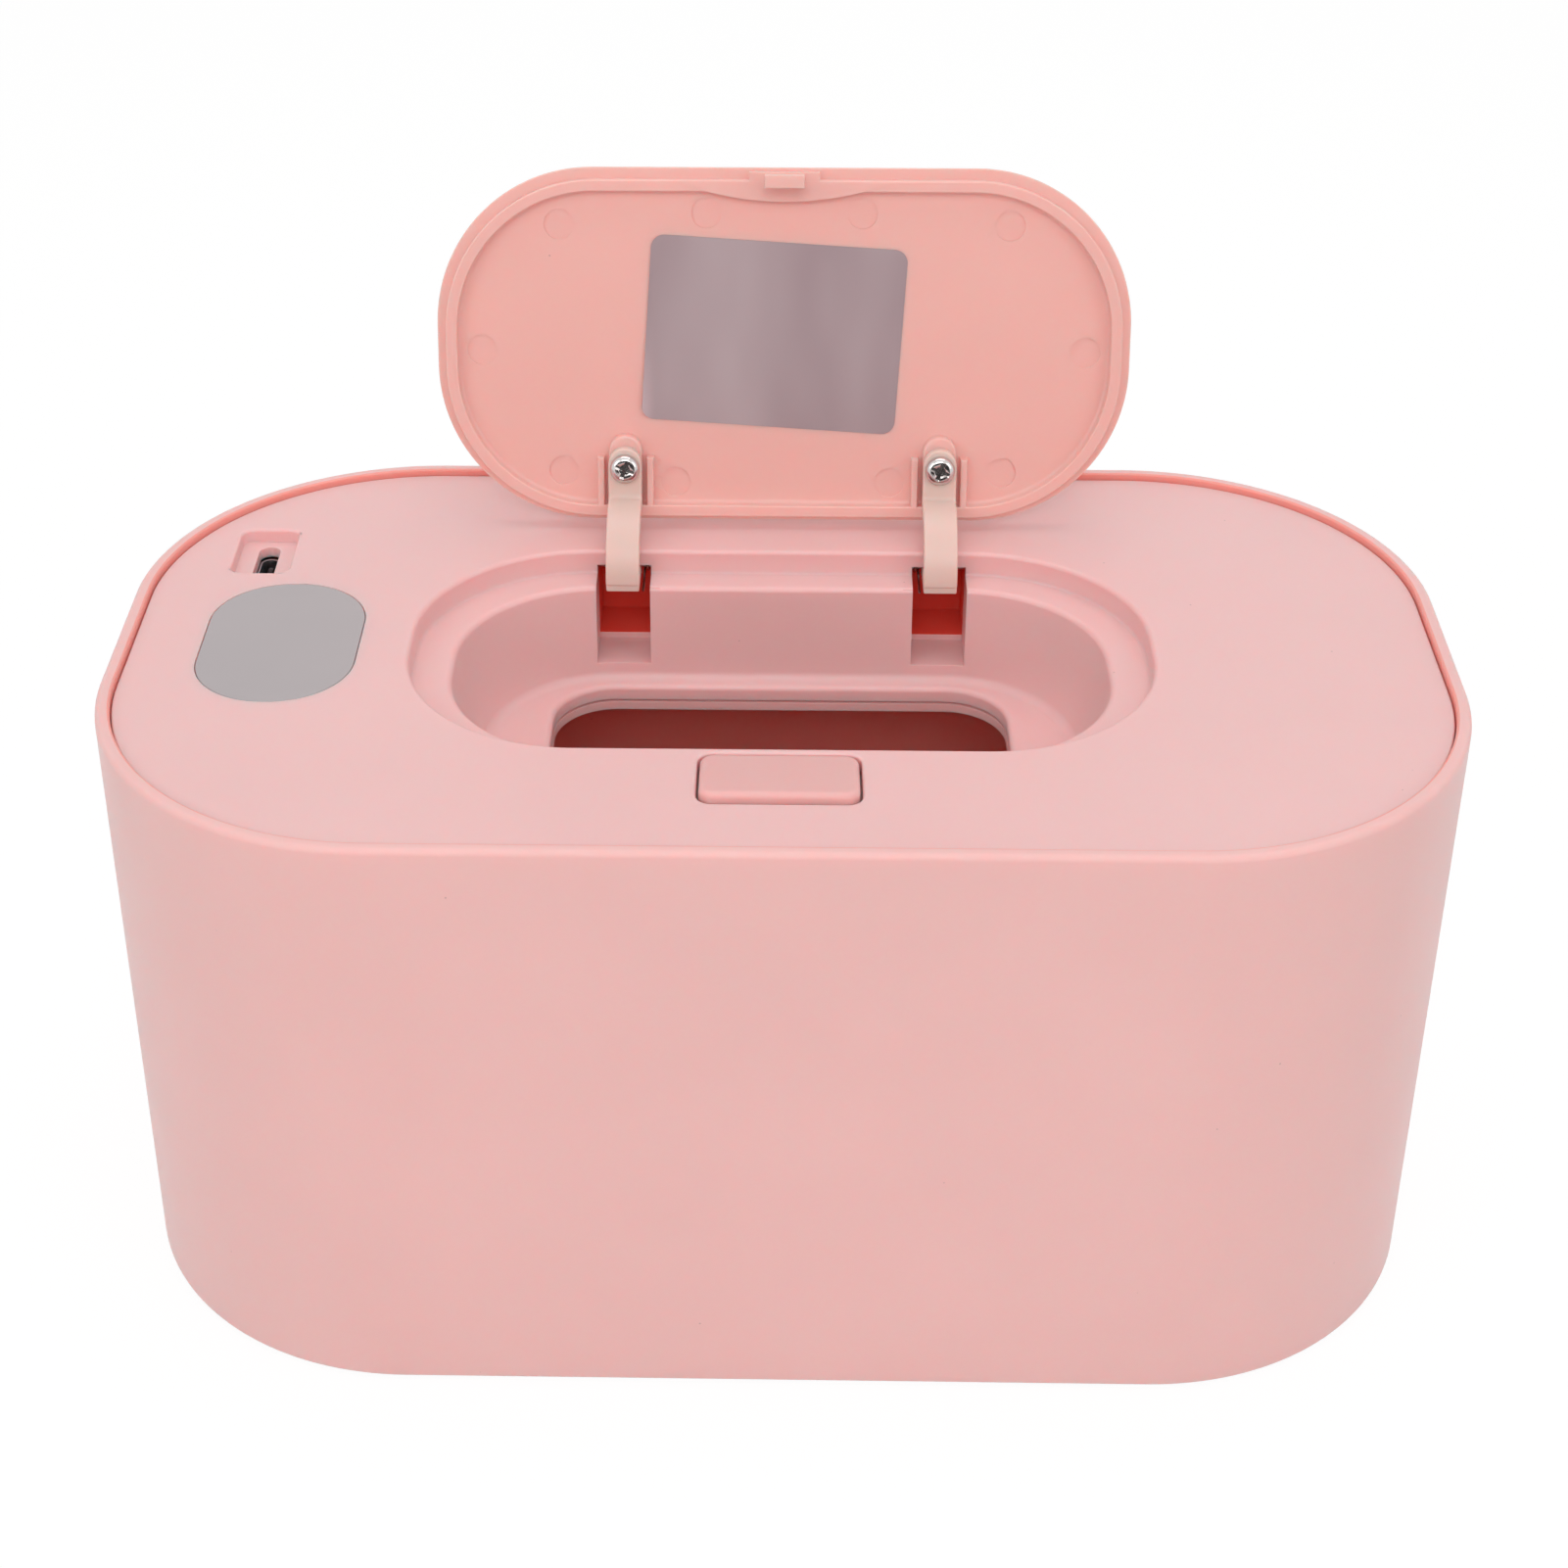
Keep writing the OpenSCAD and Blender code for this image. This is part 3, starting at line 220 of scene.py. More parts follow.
def hooped_shell(name, hoops, closed, steps, centre=(0, 0)):
    # a hoop is width, depth, corner, height, how far its edge is rounded, and, where
    # it isn't 0, how far back it lies; each one after the first is extruded from the
    # one before and drawn to its corners
    hoops = [(hoop + (0,))[:6] for hoop in hoops]
    piece = rounded_sheet(*hoops[0][:4], centre, steps)
    piece.name = name
    piece.data.name = name
    bpy.ops.mesh.delete(type="ONLY_FACE")
    mesh = bmesh.from_edit_mesh(piece.data)
    mesh.verts.layers.int.new("hoop")
    bpy.ops.mesh.select_mode(type="EDGE")
    bpy.ops.mesh.select_all(action="SELECT")
    was = hoops[0]
    for number, hoop in list(enumerate(hoops))[1:] + ([(0, hoops[0])] if closed else []):
        bpy.ops.mesh.extrude_edges_move()
        mesh = bmesh.from_edit_mesh(piece.data)
        order = mesh.verts.layers.int["hoop"]
        for vertex in mesh.verts:
            if vertex.select:
                spot = []
                for axis in (0, 1):
                    here = vertex.co[axis] / MM - centre[axis] - was[5] * axis
                    side = 1 if here > 0 else -1
                    out = (here - side * (was[axis] / 2 - was[2])) / was[2]
                    there = centre[axis] + hoop[5] * axis
                    spot.append((there + side * (hoop[axis] / 2 - hoop[2]) + out * hoop[2]) * MM)
                vertex.co = (*spot, hoop[3] * MM)
                vertex[order] = number
        bmesh.update_edit_mesh(piece.data)
        was = hoop
    if closed:
        bpy.ops.mesh.select_all(action="SELECT")
        bpy.ops.mesh.remove_doubles(threshold=0.000001)
    else:
        for end in (0, len(hoops) - 1):
            mesh = bmesh.from_edit_mesh(piece.data)
            order = mesh.verts.layers.int["hoop"]
            bpy.ops.mesh.select_all(action="DESELECT")
            for edge in mesh.edges:
                if edge.verts[0][order] == edge.verts[1][order] == end:
                    edge.select_set(True)
            bmesh.update_edit_mesh(piece.data)
            bpy.ops.mesh.edge_face_add()
    bpy.ops.mesh.select_all(action="SELECT")
    bpy.ops.mesh.normals_make_consistent(inside=False)
    mesh = bmesh.from_edit_mesh(piece.data)
    order = mesh.verts.layers.int["hoop"]
    weight = mesh.edges.layers.float.new("bevel_weight_edge")
    widest = max(hoop[4] for hoop in hoops)
    for edge in mesh.edges:
        a, b = edge.verts[0][order], edge.verts[1][order]
        if a == b:
            edge[weight] = hoops[a][4] / widest
    bmesh.update_edit_mesh(piece.data)
    bpy.ops.object.mode_set(mode="OBJECT")
    apply_modifier(piece, "BEVEL", width=widest * MM, segments=5, limit_method="WEIGHT",
        use_clamp_overlap=False)
    for left in ("hoop", "bevel_weight_edge"):
        if left in piece.data.attributes:
            piece.data.attributes.remove(piece.data.attributes[left])
    return piece


def linear(red, green, blue):
    return tuple(((c / 255 + 0.055) / 1.055) ** 2.4 for c in (red, green, blue))


def blank_paint(name):
    # a material, its tree and shader, and the coordinates that stay with the piece
    material = bpy.data.materials.new(name)
    material.use_nodes = True
    tree = material.node_tree
    return material, tree, tree.nodes["Principled BSDF"], tree.nodes.new("ShaderNodeTexCoord")


def moulded_plastic(name, colour, roughness=0.4, grain=0.12, glow_in=1.0):
    # grain is the strength of the fine bumps, glow_in the share of light that goes in
    material, tree, shader, place = blank_paint(name)
    cloud = tree.nodes.new("ShaderNodeTexNoise")
    cloud.inputs["Scale"].default_value = 34
    cloud.inputs["Detail"].default_value = 3
    shades = tree.nodes.new("ShaderNodeValToRGB")
    shades.color_ramp.elements[0].position = 0.3
    shades.color_ramp.elements[1].position = 0.7
    mottle = 0.012
    shades.color_ramp.elements[0].color = (*[c * (1 - mottle) for c in colour], 1)
    shades.color_ramp.elements[1].color = (*[min(1, c * (1 + mottle)) for c in colour], 1)
    specks = tree.nodes.new("ShaderNodeTexVoronoi")
    specks.inputs["Scale"].default_value = 120
    speck_edge = tree.nodes.new("ShaderNodeMapRange")
    speck_edge.inputs["From Min"].default_value = 0.022
    speck_edge.inputs["From Max"].default_value = 0.012
    speck_mix = tree.nodes.new("ShaderNodeMix")
    speck_mix.data_type = "RGBA"
    speck_mix.inputs["B"].default_value = (*[c * 0.72 for c in colour], 1)
    rub = tree.nodes.new("ShaderNodeTexNoise")
    rub.inputs["Scale"].default_value = 90
    rub.inputs["Detail"].default_value = 4
    rub_range = tree.nodes.new("ShaderNodeMapRange")
    rub_range.inputs["To Min"].default_value = roughness - 0.05
    rub_range.inputs["To Max"].default_value = roughness + 0.07
    fine = tree.nodes.new("ShaderNodeTexNoise")
    fine.inputs["Scale"].default_value = 2600
    fine.inputs["Detail"].default_value = 2
    bump = tree.nodes.new("ShaderNodeBump")
    bump.inputs["Strength"].default_value = grain
    bump.inputs["Distance"].default_value = 0.00006
    for texture in (cloud, specks, rub, fine):
        tree.links.new(place.outputs["Object"], texture.inputs["Vector"])
    tree.links.new(cloud.outputs["Fac"], shades.inputs["Fac"])
    tree.links.new(specks.outputs["Distance"], speck_edge.inputs["Value"])
    tree.links.new(speck_edge.outputs["Result"], speck_mix.inputs["Factor"])
    tree.links.new(shades.outputs["Color"], speck_mix.inputs["A"])
    tree.links.new(speck_mix.outputs["Result"], shader.inputs["Base Color"])
    tree.links.new(rub.outputs["Fac"], rub_range.inputs["Value"])
    tree.links.new(rub_range.outputs["Result"], shader.inputs["Roughness"])
    tree.links.new(fine.outputs["Fac"], bump.inputs["Height"])
    tree.links.new(bump.outputs["Normal"], shader.inputs["Normal"])
    shader.inputs["IOR"].default_value = 1.5
    shader.inputs["Subsurface Weight"].default_value = glow_in
    shader.inputs["Subsurface Radius"].default_value = (1, 0.3, 0.25)
    shader.inputs["Subsurface Scale"].default_value = 0.0015
    return material


def dress(piece, material):
    piece.data.materials.clear()
    piece.data.materials.append(material)


tub_under, pad_pocket_top, tub_floor = 0.3, 1.5, 2.7
ring_under, ring_top, rim_top = 87.5, 91.5, 95
tub = hooped_shell("tub", [
    (191.4, 107.4, 40.7, tub_floor, 2.0),
    (191.4, 107.4, 40.7, ring_under, 0.3),
    (188.6, 104.6, 39.3, ring_under, 0.3),
    (188.6, 104.6, 39.3, ring_top, 0.2),
    (191.8, 107.8, 40.9, ring_top, 0.15),
    (191.8, 107.8, 40.9, rim_top, 0.35),
    (196, 112, 43, rim_top, 0.9),
    (196, 112, 43, tub_under, 0.5),
    (124.2, 56.2, 20.1, tub_under, 0.2),
    (124.2, 56.2, 20.1, pad_pocket_top, 0),
], closed=False, steps=40)
smooth(tub)
tub_plastic = moulded_plastic("tub_plastic", linear(241, 196, 193))
dress(tub, tub_plastic)
# the inside faces get a redder pink: painted red light and shade, standing in for the light that such
# walls let through
inside_painted_red_shade = moulded_plastic("inside_painted_red_shade", linear(246, 164, 154))
tub.data.materials.append(inside_painted_red_shade)
for face in tub.data.polygons:
    x, y, z = face.center / MM
    faces_inward = face.normal.x * x + face.normal.y * y < -0.1
    if faces_inward or z < tub_floor + 0.1 and face.normal.z > 0.9:
        face.material_index = 1
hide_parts("body_shell")
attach(tub, "tub")


# The pad under the tub
# A soft silicone pad, pressed into a pocket in the underside and glued.
pad_rubber = moulded_plastic("pad_rubber", linear(214, 150, 148), roughness=0.72, grain=0.5, glow_in=0.0)
dress(nodes["base_pad"], pad_rubber)


# The top cover
# One pink moulding: the panel, the lid's seat, the well with the dispensing
# opening, the skirt below, the boxes and cheeks of the hinges, and the bosses.
def carve(piece, tool, operation="DIFFERENCE", overlaps=False):
    apply_modifier(piece, "BOOLEAN", object=tool, operation=operation, solver="EXACT", use_self=overlaps)
    bpy.data.meshes.remove(tool.data)


def block(low, high):
    bpy.ops.object.select_all(action="DESELECT")
    middle = [(a + b) / 2 * MM for a, b in zip(low, high)]
    bpy.ops.mesh.primitive_cube_add(size=1, location=middle)
    piece = bpy.context.object
    piece.scale = [(b - a) * MM for a, b in zip(low, high)]
    bpy.ops.object.transform_apply(location=True, rotation=True, scale=True)
    return piece


def peg(x, y, z0, z1, radius, sides=32):
    bpy.ops.object.select_all(action="DESELECT")
    bpy.ops.mesh.primitive_cylinder_add(vertices=sides, radius=radius * MM, depth=(z1 - z0) * MM,
        location=(x * MM, y * MM, (z0 + z1) / 2 * MM))
    bpy.ops.object.transform_apply(location=True, rotation=True, scale=True)
    return bpy.context.object


def thick_sheet(width, depth, corner, z0, z1, centre=(0, 0), steps=12):
    sheet = rounded_sheet(width, depth, corner, z0, centre, steps)
    bpy.ops.mesh.extrude_region_move(TRANSFORM_OT_translate={"value": (0, 0, (z1 - z0) * MM)})
    bpy.ops.mesh.select_all(action="SELECT")
    bpy.ops.mesh.normals_make_consistent(inside=False)
    bpy.ops.object.mode_set(mode="OBJECT")
    return sheet


def together(pieces):
    pick(*pieces)
    bpy.ops.object.join()
    return bpy.context.object


def near(value, level):
    return abs(value - level) < 0.01


def round_edges(piece, wanted, width, segments=3):
    # rounds the creases whose two ends lie where wanted says
    pick(piece)
    bpy.ops.object.mode_set(mode="EDIT")
    bpy.ops.mesh.select_mode(type="EDGE")
    bpy.ops.mesh.select_all(action="DESELECT")
    mesh = bmesh.from_edit_mesh(piece.data)
    found = 0
    for edge in mesh.edges:
        if len(edge.link_faces) == 2 and edge.calc_face_angle(0) > math.radians(30):
            if all(wanted(*[c / MM for c in v.co]) for v in edge.verts):
                edge.select_set(True)
                found += 1
    bmesh.update_edit_mesh(piece.data)
    if found:
        bpy.ops.mesh.bevel(offset=width * MM, segments=segments, affect="EDGES")
    bpy.ops.object.mode_set(mode="OBJECT")


panel_top, panel_under, seat_floor, seat_under = 94, 91.6, 90.1, 87.9
well_floor, mouth_under, skirt_under = 74.3, 71.8, 71.5
top_cover = hooped_shell("top_cover_shell", [
    (191.5, 107.5, 40.75, panel_top, 0.35),
    (109, 56.8, 25.5, panel_top, 0.7),
    (109, 56.8, 25.5, seat_floor, 0.5),
    (97.2, 47.4, 21, seat_floor, 0.8),
    (89.8, 45, 19.8, well_floor, 1.4),
    (70, 40.6, 9.5, well_floor, 0.9),
    (70, 40.6, 9.5, mouth_under, 0.08),
    (92.2, 48.2, 21.4, mouth_under, 0.3),
    (99.8, 50.7, 22.6, seat_under, 0.3),
    (111.6, 59.4, 26.8, seat_under, 0.3),
    (111.6, 59.4, 26.8, panel_under, 0.2),
    (184.2, 100.2, 37.1, panel_under, 0.2),
    (184.2, 100.2, 37.1, skirt_under, 0.2),
    (187.8, 103.8, 38.9, skirt_under, 0.3),
    (187.8, 103.8, 38.9, panel_under, 0.2),
    (191.5, 107.5, 40.75, panel_under, 0.2),
], closed=True, steps=32)

# what is added below ends just inside the panel, and what cuts the panel ends above it
into_panel, above_panel = 91.7, 95
hinge_x, pocket_half = 24.6, 4.2
boxes = []
for side in (-hinge_x, hinge_x):
    boxes.append(block((side - 5.7, 23.9, 75.5), (side + 5.7, 40.2, 90)))
    boxes.append(block((side - 5.6, 28.6, 85), (side + 5.6, 40.1, into_panel)))
carve(top_cover, together(boxes), "UNION", overlaps=True)
boss_spots = ((78, -28), (78, 28), (40, -41), (40, 41), (-40, 41), (-40, -41), (-78, -28))
post_spots = ((-65, 29.2), (-65, -17.3), (-86, -14.3))
guide_spots = ((-15.2, -35.8), (15.2, -35.8))
boss_radius, boss_bore, post_radius, post_bore = 3, 1.27, 2.4, 0.92
bosses = [peg(x, y, 74.1, into_panel, boss_radius) for x, y in boss_spots]
posts = [peg(x, y, 83.6, into_panel, post_radius) for x, y in post_spots]
guide_posts = [peg(x, y, 84.9, into_panel, post_radius) for x, y in guide_spots]
port_box = block((-86.3, 19.5, 90.2), (-74.9, 35.7, into_panel))
carve(top_cover, together(bosses + posts + guide_posts + [port_box]), "UNION")

slots = []
for side in (-hinge_x, hinge_x):
    slots.append(block((side - pocket_half, 20.5, 77.1), (side + pocket_half, 30.6, 91.5)))
    slots.append(block((side - pocket_half, 30.5, 78.1), (side + pocket_half, 38.7, 92.2)))
carve(top_cover, together(slots), overlaps=True)
port_spot, window_spot, button_spot = (-80.6, 27.6), (-73.9, 0), (0, -36.1)
port_floor, window_floor, button_hole_under = 91.9, 92.7, 90.6
holes = [peg(x, y, 71.4, 84.4, boss_bore) for x, y in boss_spots]
holes += [peg(x, y, 82.5, 90, post_bore, 16) for x, y in post_spots]
holes += [peg(x, y, 83.8, 89.8, post_bore, 16) for x, y in guide_spots]
# the slot for the lid's hook, then the openings in the panel
holes.append(block((-3.8, -28.4, 86.9), (3.8, -25.45, 90.4)))
holes.append(thick_sheet(22.7, 12.6, 2.2, button_hole_under, above_panel, button_spot))
holes.append(thick_sheet(23.4, 34.4, 11.3, window_floor, above_panel, window_spot, 20))
holes.append(thick_sheet(9, 13.8, 1.8, port_floor, above_panel, port_spot))
carve(top_cover, together(holes))
# through the floors of the window and the port, for display, touch spring and socket
lower_holes = [thick_sheet(17, 12.6, 0.5, 90.6, 92.8, (-73.9, 3), 3),
    peg(-73.9, -9, 90.6, 92.8, 3.9), thick_sheet(3.3, 10.14, 1.64, 89.2, 92, port_spot)]
carve(top_cover, together(lower_holes))

round_edges(top_cover, lambda x, y, z: near(z, panel_top) and abs(x) < 12 and -43 < y < -29.5, 0.4)
round_edges(top_cover, lambda x, y, z: near(z, panel_top) and x < -76 and 20 < y < 35.5, 0.45)
round_edges(top_cover, lambda x, y, z: near(z, port_floor) and x < -76 and 20 < y < 35.5, 0.15)
round_edges(top_cover, lambda x, y, z: near(z, panel_top) and x < -60 and -18 < y < 18, 0.12, 2)
smooth(top_cover)
cover_plastic = moulded_plastic("cover_plastic", linear(241, 197, 196))
dress(top_cover, cover_plastic)
# the hinge pockets get a redder colour still: painted deep red shade, for the same light through the
# walls as in the tub's inside
pocket_painted_red_shade = moulded_plastic("pocket_painted_red_shade", linear(250, 96, 80))
top_cover.data.materials.append(pocket_painted_red_shade)
for face in top_cover.data.polygons:
    x, y, z = face.center / MM
    if abs(abs(x) - hinge_x) < pocket_half + 0.05 and 29 < y < 38.8 and 78 < z < 92.3:
        face.material_index = 1
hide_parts("top_cover")
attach(top_cover, "cover")


# The inner cover and its screws
# A thin pink plate that closes the cover from below, screwed to seven bosses.
# Its edge is the lower of the two layers seen in the dispensing opening.
# its pink is a little darker than the cover's: painted shade for the lower layer seen in the opening
inner_plastic = moulded_plastic("inner_plastic", linear(240, 188, 186))
dress(nodes["inner_cover"], inner_plastic)


def bright_metal(name, colour, roughness=0.25, along=(1, 1, 1), grain=900):
    material, tree, shader, place = blank_paint(name)
    stretch = tree.nodes.new("ShaderNodeMapping")
    stretch.inputs["Scale"].default_value = along
    lines = tree.nodes.new("ShaderNodeTexNoise")
    lines.inputs["Scale"].default_value = grain
    lines.inputs["Detail"].default_value = 3
    shades = tree.nodes.new("ShaderNodeValToRGB")
    shades.color_ramp.elements[0].position = 0.25
    shades.color_ramp.elements[1].position = 0.75
    shades.color_ramp.elements[0].color = (*[c * 0.9 for c in colour], 1)
    shades.color_ramp.elements[1].color = (*colour, 1)
    dull = tree.nodes.new("ShaderNodeMapRange")
    dull.inputs["To Min"].default_value = roughness - 0.06
    dull.inputs["To Max"].default_value = roughness + 0.08
    bump = tree.nodes.new("ShaderNodeBump")
    bump.inputs["Strength"].default_value = 0.12
    bump.inputs["Distance"].default_value = 0.00002
    tree.links.new(place.outputs["Object"], stretch.inputs["Vector"])
    tree.links.new(stretch.outputs["Vector"], lines.inputs["Vector"])
    tree.links.new(lines.outputs["Fac"], shades.inputs["Fac"])
    tree.links.new(lines.outputs["Fac"], dull.inputs["Value"])
    tree.links.new(lines.outputs["Fac"], bump.inputs["Height"])
    tree.links.new(shades.outputs["Color"], shader.inputs["Base Color"])
    tree.links.new(dull.outputs["Result"], shader.inputs["Roughness"])
    tree.links.new(bump.outputs["Normal"], shader.inputs["Normal"])
    shader.inputs["Metallic"].default_value = 1
    return material


screw_steel = bright_metal("screw_steel", linear(206, 206, 210), 0.28)
dress(nodes["cover_screws"], screw_steel)


# The heater
# An aluminium sheet on the inner cover spreads the warmth of a flexible film
# of amber laminate with a printed track.
spreader_aluminium = bright_metal("spreader_aluminium", linear(214, 216, 220), 0.35,
    along=(1, 14, 1), grain=500)
dress(nodes["heat_spreader"], spreader_aluminium)

film_laminate, tree, shader, place = blank_paint("film_laminate")
track = tree.nodes.new("ShaderNodeTexWave")
track.wave_type = "BANDS"
track.bands_direction = "X"
track.inputs["Scale"].default_value = 110
track_edge = tree.nodes.new("ShaderNodeMapRange")
track_edge.inputs["From Min"].default_value = 0.45
track_edge.inputs["From Max"].default_value = 0.6
amber = tree.nodes.new("ShaderNodeMix")
amber.data_type = "RGBA"
amber.inputs["A"].default_value = (*linear(196, 120, 44), 1)
amber.inputs["B"].default_value = (*linear(150, 96, 52), 1)
tree.links.new(place.outputs["Object"], track.inputs["Vector"])
tree.links.new(track.outputs["Fac"], track_edge.inputs["Value"])
tree.links.new(track_edge.outputs["Result"], amber.inputs["Factor"])
tree.links.new(amber.outputs["Result"], shader.inputs["Base Color"])
shader.inputs["Roughness"].default_value = 0.3
dress(nodes["heating_film"], film_laminate)


# The sensor, the cut-out fuse and the wires
# A dipped bead, a ceramic tube, and thin insulated wires up to the board.
bead_epoxy = moulded_plastic("bead_epoxy", linear(52, 50, 54), 0.35, grain=0.3, glow_in=0.0)
dress(nodes["thermistor"], bead_epoxy)
fuse_ceramic = moulded_plastic("fuse_ceramic", linear(214, 208, 192), 0.55, grain=0.5, glow_in=0.0)
dress(nodes["thermal_fuse"], fuse_ceramic)
red_sleeve = moulded_plastic("red_sleeve", linear(190, 48, 40), 0.42, grain=0.2, glow_in=0.0)
dress(nodes["heater_leads"], red_sleeve)
white_sleeve = moulded_plastic("white_sleeve", linear(226, 224, 216), 0.42, grain=0.2, glow_in=0.0)
dress(nodes["sensor_leads"], white_sleeve)


# The control board and its small parts
# A green glass laminate under the panel's left end, with a chip, a power
# transistor, the display, and a wound spring that carries the touch down.
board_laminate, tree, shader, place = blank_paint("board_laminate")
weave = tree.nodes.new("ShaderNodeTexBrick")
weave.inputs["Scale"].default_value = 900
weave.inputs["Color1"].default_value = (*linear(30, 96, 54), 1)
weave.inputs["Color2"].default_value = (*linear(34, 104, 60), 1)
weave.inputs["Mortar"].default_value = (*linear(24, 84, 46), 1)
tracks = tree.nodes.new("ShaderNodeTexVoronoi")
tracks.distance = "CHEBYCHEV"
tracks.feature = "DISTANCE_TO_EDGE"
tracks.inputs["Scale"].default_value = 300
track_line = tree.nodes.new("ShaderNodeMapRange")
track_line.inputs["From Min"].default_value = 0.03
track_line.inputs["From Max"].default_value = 0.05
track_mix = tree.nodes.new("ShaderNodeMix")
track_mix.data_type = "RGBA"
track_mix.inputs["A"].default_value = (*linear(62, 140, 84), 1)
tree.links.new(place.outputs["Object"], weave.inputs["Vector"])
tree.links.new(place.outputs["Object"], tracks.inputs["Vector"])
tree.links.new(tracks.outputs["Distance"], track_line.inputs["Value"])
tree.links.new(track_line.outputs["Result"], track_mix.inputs["Factor"])
tree.links.new(weave.outputs["Color"], track_mix.inputs["B"])
tree.links.new(track_mix.outputs["Result"], shader.inputs["Base Color"])
shader.inputs["Roughness"].default_value = 0.32
dress(nodes["control_board"], board_laminate)
dress(nodes["board_screws"], screw_steel)
chip_epoxy = moulded_plastic("chip_epoxy", linear(38, 38, 42), 0.5, grain=0.6, glow_in=0.0)
dress(nodes["control_chip"], chip_epoxy)
dress(nodes["heater_switch"], chip_epoxy)
display_face = moulded_plastic("display_face", linear(44, 44, 50), 0.3, grain=0.1, glow_in=0.0)
dress(nodes["led_display"], display_face)
spring_steel = bright_metal("spring_steel", linear(196, 194, 190), 0.24)
dress(nodes["touch_spring"], spring_steel)


# The touch window
# A satin grey acrylic plate with a fine bevelled edge, glued into a shallow
# pocket of the panel, over the display and the touch spring.
touch_window = thick_sheet(23.2, 34.2, 11.2, 92.8, panel_top, window_spot, 28)
touch_window.name = "touch_window_plate"
apply_modifier(touch_window, "BEVEL", width=0.18 * MM, segments=3, limit_method="ANGLE")
smooth(touch_window)
window_acrylic, tree, shader, place = blank_paint("window_acrylic")
cloud = tree.nodes.new("ShaderNodeTexNoise")
cloud.inputs["Scale"].default_value = 60
shades = tree.nodes.new("ShaderNodeValToRGB")
shades.color_ramp.elements[0].color = (*linear(173, 166, 168), 1)
shades.color_ramp.elements[1].color = (*linear(181, 173, 175), 1)
fine = tree.nodes.new("ShaderNodeTexNoise")
fine.inputs["Scale"].default_value = 3200
satin = tree.nodes.new("ShaderNodeBump")
satin.inputs["Strength"].default_value = 0.08
satin.inputs["Distance"].default_value = 0.00003
tree.links.new(place.outputs["Object"], cloud.inputs["Vector"])
tree.links.new(place.outputs["Object"], fine.inputs["Vector"])
tree.links.new(cloud.outputs["Fac"], shades.inputs["Fac"])
tree.links.new(shades.outputs["Color"], shader.inputs["Base Color"])
tree.links.new(fine.outputs["Fac"], satin.inputs["Height"])
tree.links.new(satin.outputs["Normal"], shader.inputs["Normal"])
shader.inputs["Roughness"].default_value = 0.33
dress(touch_window, window_acrylic)
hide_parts("touch_window")
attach(touch_window, "cover")


# The charging socket
# A drawn steel shell soldered on the board, standing up into the port's slot,
# with a black insulator and its tongue, that carries two rows of contacts.
socket_under, socket_mouth, socket_back = 83.5, 90.1, 84.5
socket_shell = thick_sheet(3.16, 8.94, 1.57, socket_under, socket_mouth, port_spot, 10)
socket_shell.name = "socket_shell"
carve(socket_shell, thick_sheet(2.56, 8.34, 1.27, socket_back, 91, port_spot, 10))
apply_modifier(socket_shell, "BEVEL", width=0.08 * MM, segments=2, limit_method="ANGLE")
smooth(socket_shell)
socket_steel = bright_metal("socket_steel", linear(188, 188, 192), 0.3, grain=1400)
dress(socket_shell, socket_steel)
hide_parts("usb_shell")
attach(socket_shell, "cover")

tongue_width, tongue_strips = 6.54, 12
insulator = thick_sheet(2.46, 8.24, 1.1, socket_back, 85.4, port_spot, 8)
tongue = thick_sheet(0.7, tongue_width, 0.2, 85.3, 89.2, port_spot, 3)
carve(insulator, tongue, "UNION")
insulator.name = "socket_insulator"
apply_modifier(insulator, "BEVEL", width=0.06 * MM, segments=2, limit_method="ANGLE")
smooth(insulator)
insulator_black = moulded_plastic("insulator_black", linear(34, 30, 32), 0.4, grain=0.2, glow_in=0.0)
dress(insulator, insulator_black)
contact_gold = bright_metal("contact_gold", linear(222, 186, 110), 0.25)
insulator.data.materials.append(contact_gold)
# the tongue is cut into strips, and every other one is a contact
tongue_side = port_spot[1] - tongue_width / 2
pick(insulator)
bpy.ops.object.mode_set(mode="EDIT")
bpy.ops.mesh.select_all(action="SELECT")
for step in range(1, tongue_strips):
    cut = tongue_side + tongue_width * step / tongue_strips
    bpy.ops.mesh.bisect(plane_co=(0, cut * MM, 0), plane_no=(0, 1, 0))
    bpy.ops.mesh.select_all(action="SELECT")
mesh = bmesh.from_edit_mesh(insulator.data)
for face in mesh.faces:
    middle = face.calc_center_median() / MM
    strip = int((middle.y - tongue_side) / tongue_width * tongue_strips)
    if abs(face.normal.x) > 0.95 and 85.6 < middle.z < 89.1 and strip % 2 == 1:
        face.material_index = 1
bmesh.update_edit_mesh(insulator.data)
bpy.ops.object.mode_set(mode="OBJECT")
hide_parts("usb_insulator")
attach(insulator, "cover")


# The push button
# A pink cap with soft edges, proud of the panel at its front. A flange holds
# it under the panel and two ramps below push the latch slider forward.
button_width, button_back, button_front = 22, -30.15, -42.05
flange_under, cap_height, front_rise = 89.9, 4.3, 1.1
push_button = rounded_sheet(button_width, button_back - button_front, 2.05, flange_under,
    (0, (button_back + button_front) / 2), 12)
bpy.ops.mesh.extrude_region_move(TRANSFORM_OT_translate={"value": (0, 0, cap_height * MM)})
slope = front_rise / (button_back - button_front)
mesh = bmesh.from_edit_mesh(push_button.data)
for vertex in mesh.verts:
    if vertex.select:
        vertex.co.z += (button_back * MM - vertex.co.y) * slope
bpy.ops.mesh.select_all(action="SELECT")
bpy.ops.mesh.normals_make_consistent(inside=False)
bpy.ops.object.mode_set(mode="OBJECT")
push_button.name = "push_button"
round_edges(push_button, lambda x, y, z: z > 93.5, 0.95, 6)
carve(push_button, thick_sheet(23.6, 12.8, 0.8, flange_under, 91.25, button_spot), "UNION")
carve(push_button, block((-9.6, -40.9, 89), (9.6, -31.3, 92.4)))
